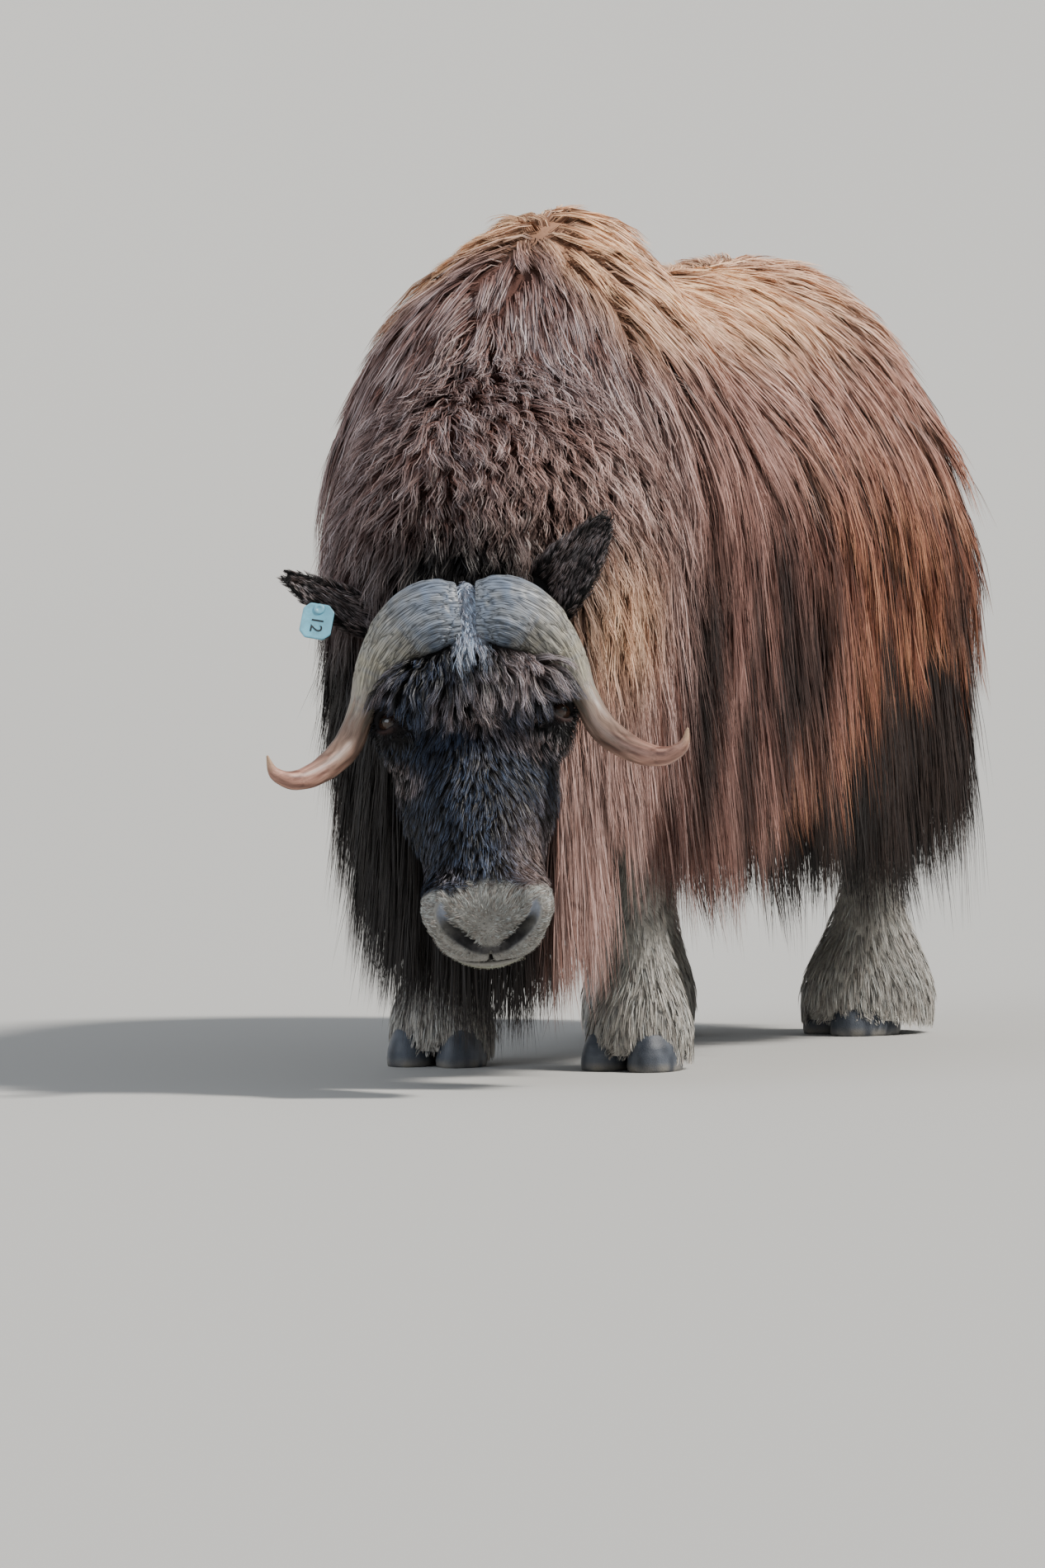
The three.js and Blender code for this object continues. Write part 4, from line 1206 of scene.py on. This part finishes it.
def ear_coat():
    """Dark fur, shorter towards the tip of each ear and greyer inside it."""

    def density(c):
        q = to_head(c)
        return (np.abs(ears_world(c)) < 3) & (head_near(q) > 3) & (horn_field(q) > 0) & (body_field(c) > -8)

    def direction(p, n):
        q = to_head(p)
        left, right = (unit(np.subtract(keys[-1], keys[1])[:3]) for keys in (LEFT_EAR, RIGHT_EAR))
        d = np.where(q[:, :1] > 0, left, right)
        return (d + 0.3 * np.stack([noise(q, 14, seed) for seed in (81, 82, 83)], 1)) @ HEAD_AXES

    def marking(p, t, place):
        inside = smoothstep(gradient(ears_world, p) @ HEAD_W, 0.2, 0.8)
        rim = over(BROWN, ASH * 1.1, 0.4 + 0.5 * inside)
        fleck = np.clip(0.65 + 0.5 * noise(to_head(p), 12, 84), 0, 1)[:, None]
        return mix(BLACK, rim, smoothstep(t, 0.2, 0.9) * fleck)

    roots = spread(head_points, head_quads, EAR_STRANDS, density)
    guides = spread(head_points, head_quads, EAR_STRANDS // 10, density)
    u = to_head(guides)[:, 0]
    along_ear = np.where(u > 0, u / LEFT_EAR[-1][0], u / RIGHT_EAR[-1][0])
    length = np.interp(along_ear, [0.2, 0.5, 0.9, 1], [28, 21, 13, 8]) * rng.uniform(0.75, 1.3, len(guides))
    paths, normals = trace(ears_world, direction, guides, length, 0.2 * length, steps=4)
    ways = (3, 0.4, (0.3, 3.0), 1.0, 7, (0.7, 1.1), 0.0, 2.8)
    points, out, tuft, _ = comb(roots, guides, paths, normals, *ways)
    points[:, 0] -= out[:, 0] * 1.2
    rule = tinted(marking, roots, tuft, 0.25, 0.4)
    wide = rng.uniform(0.25, 0.5, len(roots))
    coat("ear_fur", points, out, wide, rule, unwrap_head, coat_finish)


head_points = from_head(head_local)
face_coat()
ear_coat()


# Fur of the legs
def leg_coat(name):
    foot = np.array(LEGS[name][2])
    near = (np.abs(body_points[:, :2] - foot).max(1) < 190) & (body_points[:, 2] < 560)
    quads = body_quads[near[body_quads].all(1)]

    def field(p):
        return leg_field(p, name)

    def density(c):
        return (np.abs(field(c)) < 16) * (1 + 1.2 * (c[:, 2] < 160))

    def direction(p, n):
        slope = DOWN - n * (n @ DOWN)[:, None]
        lean = np.stack([noise(p, 60, 41), 0.25 + noise(p, 60, 42), 0 * p[:, 0]], 1)
        return slope + DOWN * 0.35 + 0.22 * lean

    roots = spread(body_points, quads, LEG_STRANDS, density)
    guides = spread(body_points, quads, LEG_STRANDS // 12, density)
    z = guides[:, 2]
    forward = -gradient(field, guides)[:, 1]
    length = np.interp(z, [40, 120, 250, 420], [46, 40, 26, 50]) * rng.uniform(0.8, 1.25, len(guides))
    length = length * (1 + 0.5 * smoothstep(-forward, 0.2, 0.9))
    # the claws show in front, below the fringe
    length = np.minimum(length, np.maximum(z - 8 - 22 * smoothstep(forward, 0.3, 0.9), 8))
    lift = np.interp(z, [40, 130], [9, 3.5])
    paths, normals = trace(field, direction, guides, length, lift, steps=6)
    ways = (3, 0.42, (0.3, 3.5), 1.5, 8, (0.7, 1.1), 0.0, 2.6)
    points, out, tuft, _ = comb(roots, guides, paths, normals, *ways)
    points = cleared(points, field, 1.5)
    points[..., 2] = np.maximum(points[..., 2], 6)
    points[:, 0] -= out[:, 0] * 2
    wide = rng.uniform(0.38, 0.8, len(roots))
    rule = tinted(leg_marking, roots, tuft, 0.1)
    coat("fur_" + name, points, out, wide, rule, unwrap_leg(name), coat_finish)


for leg in LEGS:
    leg_coat(leg)


def circle(count):
    angle = np.linspace(0, 2 * math.pi, count, endpoint=False)
    return np.stack([np.cos(angle), np.sin(angle)], 1)


def level(outline, z):
    return np.column_stack([outline, np.full(len(outline), z)])


def ring_faces(n, m):
    """Quads between n rings of m points, and triangles to one point before them and one after them."""
    r = np.arange(m)
    s = (r + 1) % m
    i = np.arange(n - 1)[:, None] * m
    quads = np.stack([i + r, i + s, i + m + s, i + m + r], -1).reshape(-1, 4)
    last = (n - 1) * m
    start = np.stack([s, r, np.full(m, n * m)], 1)
    finish = np.stack([last + r, last + s, np.full(m, n * m + 1)], 1)
    return [quads, np.concatenate([start, finish])]


# Horns: the boss is grey and cracked along its fibres, the rest smoother, browner and streaked
HORN_RINGS = 200
HORN_SIDES = 108


def horn_mesh(side):
    """Points, faces and colours of a horn, its places along the fibres, and how far it is the boss."""
    rows = spline(HORN, HORN_RINGS)
    rows[:, 3:] = np.maximum(rows[:, 3:], 0.4)
    centre = rows[:, :3]
    tangent = unit(np.gradient(centre, axis=0))
    normal = unit(np.array([0.0, 0.0, 1.0]) - tangent[:, 2:] * tangent)
    across = np.cross(normal, tangent)
    share = np.linspace(0, 1, len(rows))[:, None]
    angle = np.linspace(0, 2 * math.pi, HORN_SIDES, endpoint=False)[None, :]
    square = mix(0.86, 1.0, smoothstep(share, 0.1, 0.45))
    cx, sx = (np.sign(way) * np.abs(way) ** square for way in (np.cos(angle), np.sin(angle)))
    run = np.concatenate([[0], np.cumsum(np.linalg.norm(np.diff(centre, axis=0), axis=1))])[:, None]
    boss = 1 - smoothstep(share, 0.22, 0.5)
    at = np.stack([rows[:, 3:4] * cx, rows[:, 4:5] * sx, run + 0 * angle], -1).reshape(-1, 3)
    at[:, :2] += 3 * np.stack([noise(at, 22, 55), noise(at, 22, 56)], 1)
    grains = ((4.6, 4.6, 42), 52), ((2.4, 2.4, 20), 53), ((13, 13, 6), 54)
    grains = [noise(at / np.array(size), 1.0, seed).reshape(len(rows), -1) for size, seed in grains]
    fibre, fine, flake = grains
    crack = -boss * (2.2 * (1 - smoothstep(np.abs(fibre), 0.02, 0.3)) + 0.9 * np.maximum(flake, 0))
    rise = crack + 0.4 * fine * (0.3 + boss) + 0.18 * np.sin(run / 5.5) * smoothstep(share, 0.35, 0.6)
    rise = rise * smoothstep(rows[:, 3:4], 1.5, 9)
    wide, deep = rows[:, 3:4] - 0.6 + rise, rows[:, 4:5] - 0.6 + rise
    points = centre[:, None] + across[:, None] * (wide * cx)[..., None]
    points = points + normal[:, None] * (deep * sx)[..., None]

    def streaked(dark, light, amount):
        return mix(srgb(*dark), srgb(*light), amount[..., None])

    grey = streaked((116, 124, 136), (150, 146, 134), smoothstep(share, 0.12, 0.3) + 0.3 * flake)
    middle = streaked((70, 54, 46), (128, 106, 94), np.clip(0.5 + 0.9 * fibre, 0, 1))
    low = streaked((112, 78, 68), (178, 136, 120), np.clip(0.5 + 0.8 * fibre, 0, 1))
    layers = (
        # darker along the fibre lines: painted shade in the cracks of the boss, and dark streaks on the rest
        # of the horn
        (srgb(58, 56, 54), (1 - smoothstep(np.abs(fibre), 0.0, 0.22)) * 0.45),
        (middle, smoothstep(share + 0.05 * fine, 0.34, 0.54)),
        (low, smoothstep(share + 0.06 * fine, 0.56, 0.8)),
        (srgb(172, 144, 116), smoothstep(share + 0 * angle, 0.9, 0.97) * 0.8),
    )
    colours = grey
    for top, amount in layers:
        colours = mix(colours, top, amount[..., None])
    ends = np.array([points[0].mean(0), points[-1].mean(0)])
    flat = np.concatenate([points.reshape(-1, 3), ends]) * np.array([side, 1, 1])
    shade = np.concatenate([colours.reshape(-1, 3), colours[0, :1], colours[-1, :1]])
    grain = np.concatenate([at, at[:1], at[-1:]]) / 1000
    worn = np.concatenate([(boss + 0 * angle).reshape(-1), [1.0, 0.0]])
    faces = ring_faces(*points.shape[:2])
    if side > 0:
        faces = [f[:, ::-1] for f in faces]
    return from_head(flat), faces, shade, grain, worn


def horn_material():
    """Fibres along the horn, split into cracks and flakes where it is the boss."""
    made, tree, shader = new_material("horn", 0.45, 0.4)
    fibre = attribute(tree, "Fibre", "Vector")
    place = node(tree, "Mapping", {"Vector": fibre, "Scale": (1, 1, 0.05)}, "Vector")
    warp = node(tree, "TexNoise", {"Vector": place, "Scale": 160.0, "Detail": 3.0}, "Color")
    bent = {0: warp, 1: (0.006, 0.006, 0.004), 2: place}
    bent = node(tree, "VectorMath", bent, "Vector", operation="MULTIPLY_ADD")
    cells = node(tree, "TexVoronoi", {"Vector": bent, "Scale": 230.0}, "Distance", feature="DISTANCE_TO_EDGE")
    split = node(tree, "MapRange", {"Value": cells, "From Max": 0.1}, "Result")
    streak = node(tree, "TexNoise", {"Vector": place, "Scale": 900.0, "Detail": 4.0}, "Fac")
    depth = node(tree, "Mix", {0: attribute(tree, "Boss", "Fac"), 2: 1.0, 3: split}, 0, data_type="FLOAT")
    tone = {"Value": streak, "From Min": 0.3, "From Max": 0.7, "To Min": 0.72, "To Max": 1.2}
    tone = node(tree, "MapRange", tone, "Result")
    shadow = node(tree, "MapRange", {"Value": depth, "To Min": 0.3}, "Result")
    both = node(tree, "Math", {0: tone, 1: shadow}, "Value", operation="MULTIPLY")
    tree.links.new(scaled(tree, attribute(tree, "Marking"), both), shader.inputs["Base Color"])
    deep = node(tree, "Bump", {"Strength": 0.7, "Distance": 0.0016, "Height": depth}, "Normal")
    thin = {"Strength": 0.35, "Distance": 0.0005, "Height": streak, "Normal": deep}
    tree.links.new(node(tree, "Bump", thin, "Normal"), shader.inputs["Normal"])
    return made


horn_finish = horn_material()
for side, node_name in ((1, "horn_left"), (-1, "horn_right")):
    points, faces, shade, grain, worn = horn_mesh(side)
    horn = make_object(f"{node_name}_detail", placed(points), faces, horn_finish, colours=shade)
    fibres = horn.data.attributes.new("Fibre", "FLOAT_VECTOR", "POINT")
    fibres.data.foreach_set("vector", grain.astype(np.float32).reshape(-1))
    boss_share = horn.data.attributes.new("Boss", "FLOAT", "POINT")
    boss_share.data.foreach_set("value", worn.astype(np.float32))
    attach(horn, "root")
    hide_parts(node_name)


# Eyes: a dark brown iris round a pupil that lies level, under a clear wet front
EYE_RINGS, EYE_SIDES = 48, 64
EYE_RIM, EYE_PUPIL = srgb(30, 21, 18), srgb(6, 6, 8)


def eye_mesh(side):
    a = np.linspace(0, math.pi, EYE_RINGS + 1)[1:-1, None]
    b = np.linspace(0, 2 * math.pi, EYE_SIDES, endpoint=False)[None, :]
    radius = EYE_RADIUS - 0.1 + 0.9 * bell(a, 0, 0.42)
    x, y, z = np.sin(a) * np.cos(b), np.sin(a) * np.sin(b), np.cos(a) + 0 * b
    ways = x[..., None] * EYE_ALONG + y[..., None] * EYE_ACROSS + z[..., None] * FACING
    points = EYE_AT + radius[..., None] * ways
    reach = a + 0 * b
    spokes = noise(np.stack([(b * 7 + 0 * a).ravel(), (reach * 3).ravel()], 1), 1.0, 61).reshape(reach.shape)
    brown = mix(srgb(20, 14, 11), srgb(48, 33, 25), np.clip(0.5 + 0.6 * spokes, 0, 1)[..., None])
    colour = mix(EYE_RIM, brown, (1 - smoothstep(reach, 0.56, 0.62))[..., None])
    pupil = 1 - smoothstep(np.hypot(x / 0.30, y / 0.17), 0.85, 1.1)
    colour = mix(colour, EYE_PUPIL, (pupil * (z > 0))[..., None])
    poles = np.array([EYE_AT + FACING * (EYE_RADIUS + 0.8), EYE_AT - FACING * (EYE_RADIUS - 0.1)])
    flat = np.concatenate([points.reshape(-1, 3), poles]) * np.array([side, 1, 1])
    shade = np.concatenate([colour.reshape(-1, 3), [EYE_PUPIL], [EYE_RIM]])
    faces = ring_faces(*points.shape[:2])
    if side < 0:
        faces = [f[:, ::-1] for f in faces]
    return from_head(flat), faces, shade


eye_finish, eye_tree, eye_shader = new_material("eye", 0.12, 0.35)
eye_shader.inputs["Coat Weight"].default_value = 0.35
eye_shader.inputs["Coat Roughness"].default_value = 0.03
eye_tree.links.new(attribute(eye_tree, "Marking"), eye_shader.inputs["Base Color"])
for side, node_name in ((1, "eye_left"), (-1, "eye_right")):
    points, faces, shade = eye_mesh(side)
    eye = make_object(f"{node_name}_detail", placed(points), faces, eye_finish, colours=shade)
    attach(eye, "root")
    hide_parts(node_name)


# Hooves: two claws each, with growth rings and a worn lower edge
CLAW_SIDE, CLAW_AT, CLAW_SPLAY = 33, -26, 4
CLAW_SIZE = np.array([36, 60, 60])
HOOF_STEP = 3.2
HOOF_LOW = np.array([-80.0, -98.0, -4.0])
HOOF_COUNTS = (51, 50, 26)


def hoof_mesh(name):
    _, _, foot, toe_out = LEGS[name]
    p = grid_points(HOOF_LOW, HOOF_COUNTS, HOOF_STEP)
    f = np.full(len(p), 50.0)
    for way in (-1, 1):
        a = math.radians(way * CLAW_SPLAY)
        x = p[:, 0] * math.cos(a) + p[:, 1] * math.sin(a)
        y = -p[:, 0] * math.sin(a) + p[:, 1] * math.cos(a)
        q = np.stack([x, y, p[:, 2]], 1)
        rings = 0.5 * np.sin(p[:, 2] / 2.1 + 0.8 * noise(q, 18, 71)) + 0.8 * noise(q, 9, 72)
        claw = ellipsoid(q, np.array([way * CLAW_SIDE, CLAW_AT, 10]), CLAW_SIZE)
        inner = (way * CLAW_SIDE - CLAW_SIZE[0] * way * 0.93 - x) * way
        f = np.minimum(f, carved(claw, -inner, 6) + rings * 0.45)
    f = np.maximum(f, -p[:, 2])
    points, quads = surface_net(f.reshape(HOOF_COUNTS), HOOF_LOW, HOOF_STEP)
    z = points[:, 2]
    points[z < 1.6, 2] = 0.0
    tone = noise(points * np.array([1, 1, 0.5]), 12, 73)[:, None]
    wear = (1 - smoothstep(z, 3, 16))[:, None]
    shade = mix(srgb(46, 52, 62), srgb(74, 80, 90), np.clip(0.5 + tone, 0, 1))
    shade = mix(shade, srgb(120, 116, 108), wear * np.clip(0.5 + 0.6 * tone, 0, 1))
    a = math.radians(toe_out)
    turn = np.array([[math.cos(a), math.sin(a), 0], [-math.sin(a), math.cos(a), 0], [0, 0, 1]])
    return points @ turn + np.array([foot[0], foot[1], 0]), quads, shade


hoof_finish = coat_material("hoof", 0.5, 0.4, bump=0.3, scale=700.0)
for name in LEGS:
    points, quads, shade = hoof_mesh(name)
    hoof = make_object(f"hoof_{name}_detail", placed(points), quads, hoof_finish, colours=shade)
    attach(hoof, "root")
    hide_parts("hoof_" + name)


# Ear tag: a moulded plate with rounded edges and a stud, and a plain number
TAG_AT, TAG_TILT = np.array([-208.0, 4.0, -52.0]), 14
TAG_ACROSS, TAG_TALL, TAG_CORNER, TAG_POINTS = 22.0, 26.0, 9.0, 32


def plastic(name, colour):
    """Plain moulded plastic with a little grime."""
    made, tree, shader = new_material(name, 0.38, 0.5)
    place = node(tree, "TexCoord", {}, "Object")
    grime = node(tree, "TexNoise", {"Vector": place, "Scale": 90.0, "Detail": 6.0}, "Fac")
    share = node(tree, "MapRange", {"Value": grime, "From Min": 0.45, "From Max": 0.8}, "Result")
    mixed = {0: share, 6: (*colour, 1), 7: (*(colour * 0.5 + 0.05), 1)}
    tree.links.new(node(tree, "Mix", mixed, 2, data_type="RGBA"), shader.inputs["Base Color"])
    relief = node(tree, "Bump", {"Strength": 0.12, "Distance": 0.001, "Height": grime}, "Normal")
    tree.links.new(relief, shader.inputs["Normal"])
    return made


def tag_to_head(local):
    """x to the right, y up and z out of the tag's face, to the head's frame."""
    p = local * np.array([1, -1, 1])
    a = math.radians(TAG_TILT)
    x = p[:, 0] * math.cos(a) - p[:, 1] * math.sin(a)
    y = p[:, 0] * math.sin(a) + p[:, 1] * math.cos(a)
    return TAG_AT + np.stack([x, y, p[:, 2]], 1)


def tag_outline(inset):
    x, y, c = TAG_ACROSS - inset, TAG_TALL - inset, TAG_CORNER - 0.4 * inset
    half = [(x, c - y), (x, y - c), (x - c, y), (c - x, y)]
    corners = half + [(-a, -b) for a, b in half]
    out = []
    for i, (px, py) in enumerate(corners):
        before, after = np.array(corners[i - 1]), np.array(corners[(i + 1) % 8])
        here = np.array([px, py])
        r = 2.2
        p0 = here + (before - here) / np.linalg.norm(before - here) * r
        p2 = here + (after - here) / np.linalg.norm(after - here) * r
        for t in (0, 0.33, 0.67, 1):
            out.append((1 - t) ** 2 * p0 + 2 * t * (1 - t) * here + t * t * p2)
    return np.array(out)


def stacked(rings):
    """A closed body from rings of like length."""
    points = np.concatenate(rings + [rings[0].mean(0)[None], rings[-1].mean(0)[None]])
    return points, ring_faces(len(rings), len(rings[0]))


def tag_piece(name, rings, material):
    points, faces = stacked(rings)
    made = make_object(name, placed(from_head(tag_to_head(points))), faces, material)
    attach(made, "root")
    return made


tag_finish = plastic("tag", srgb(112, 178, 200))
ink = plastic("ink", srgb(24, 26, 30))
# inset and height of each outline of the plate, radius and height of each ring of the stud
PLATE = ((1.2, 0), (0.3, 0.3), (0, 0.9), (0, 2.1), (0.3, 2.7), (1.2, 3.0), (2.6, 3.0), (3.2, 2.75))
STUD = ((4.3, -21), (4.3, 3), (7.5, 3.05), (7.8, 3.6), (7.2, 4.3), (3.6, 4.4), (3.2, 3.9))
STUD_AT = np.array([0, 18])
plate_rings = [level(tag_outline(inset), z) for inset, z in PLATE]
stud_rings = [level(circle(TAG_POINTS) * radius + STUD_AT, z) for radius, z in STUD]
plate = tag_piece("tag_plate", plate_rings, tag_finish)
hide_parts("ear_tag")
tag_piece("tag_stud", stud_rings, tag_finish)


def digits(text):
    curve = bpy.data.curves.new("number", "FONT")
    curve.body = text
    curve.size = 24
    curve.extrude = 0.25
    curve.align_x = "CENTER"
    curve.align_y = "CENTER"
    shape = bpy.data.objects.new("number_curve", curve)
    bpy.context.scene.collection.objects.link(shape)
    bpy.context.view_layer.update()
    source = shape.evaluated_get(bpy.context.evaluated_depsgraph_get()).to_mesh()
    points = np.array([v.co for v in source.vertices])
    triangles = []
    for polygon in source.polygons:
        corners = list(polygon.vertices)
        triangles += [(corners[0], corners[i], corners[i + 1]) for i in range(1, len(corners) - 1)]
    bpy.data.objects.remove(shape)
    local = np.column_stack([points[:, 1], -points[:, 0] - 5, points[:, 2] + 2.9])
    at = placed(from_head(tag_to_head(local)))
    made = make_object("tag_number", at, np.array(triangles), ink, smooth=False)
    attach(made, "root")


digits("12")


# Camera and light: the camera's distance and turn give the picture's scale of 0.845 pixels a millimetre
TARGET = np.array([-35.0, -14.0, 406.0])
AZIMUTH, ELEVATION, DISTANCE = math.radians(22), math.radians(2.4), 18.0
PIXELS_PER_METRE, PICTURE_HEIGHT = 845.0, 1900
SENSOR = 36

reach = math.cos(ELEVATION)
back = Vector((math.sin(AZIMUTH) * reach, -math.cos(AZIMUTH) * reach, math.sin(ELEVATION)))
camera_data = bpy.data.cameras.new("camera")
camera = bpy.data.objects.new("camera", camera_data)
bpy.context.scene.collection.objects.link(camera)
camera.location = Vector(placed(TARGET)) + back * DISTANCE
camera.rotation_mode = "QUATERNION"
camera.rotation_quaternion = (-back).to_track_quat("-Z", "Y")
camera_data.sensor_width = SENSOR
camera_data.lens = PIXELS_PER_METRE * DISTANCE * SENSOR / PICTURE_HEIGHT
camera_data.clip_end = 200
bpy.context.scene.camera = camera


def sun_light(name, away, strength, spread_angle, colour):
    data = bpy.data.lights.new(name, "SUN")
    data.energy = strength
    data.angle = math.radians(spread_angle)
    data.color = colour
    light = bpy.data.objects.new(name, data)
    light.location = Vector(away) * 6
    light.rotation_mode = "QUATERNION"
    light.rotation_quaternion = (-Vector(away)).to_track_quat("-Z", "Y")
    bpy.context.scene.collection.objects.link(light)


sun_light("key", (0.80, 0.16, 0.95), 6.2, 7, (1.0, 0.95, 0.88))
sun_light("fill", (-0.45, -1.0, 0.55), 1.3, 40, (0.84, 0.91, 1.0))

world = bpy.data.worlds.new("studio")
bpy.context.scene.world = world
world.use_nodes = True
sky = world.node_tree.nodes["Background"]
sky.inputs["Color"].default_value = (0.86, 0.9, 0.95, 1)
sky.inputs["Strength"].default_value = 0.5

# A pale floor that rises far away into a bowl, so that every view has a backdrop
FLOOR_FLAT, FLOOR_CURVE, FLOOR_SIDES = 22.0, 40.0, 96
floor_finish, _, floor_shader = new_material("floor", 0.8, 0.5)
floor_shader.inputs["Base Color"].default_value = (0.42, 0.42, 0.41, 1)
profile = [(0.01, 0.0), (6.0, 0.0), (FLOOR_FLAT, 0.0)]
for rise in np.radians(np.linspace(2, 50, 25)):
    profile.append((FLOOR_FLAT + FLOOR_CURVE * math.sin(rise), FLOOR_CURVE * (1 - math.cos(rise))))
floor_points = [level(circle(FLOOR_SIDES) * reach, z) for reach, z in profile]
floor_quads = ring_faces(len(profile), FLOOR_SIDES)[0][:, ::-1]
middle = np.arange(FLOOR_SIDES)[None, :]
floor = make_object("floor", np.concatenate(floor_points), [floor_quads, middle], floor_finish)
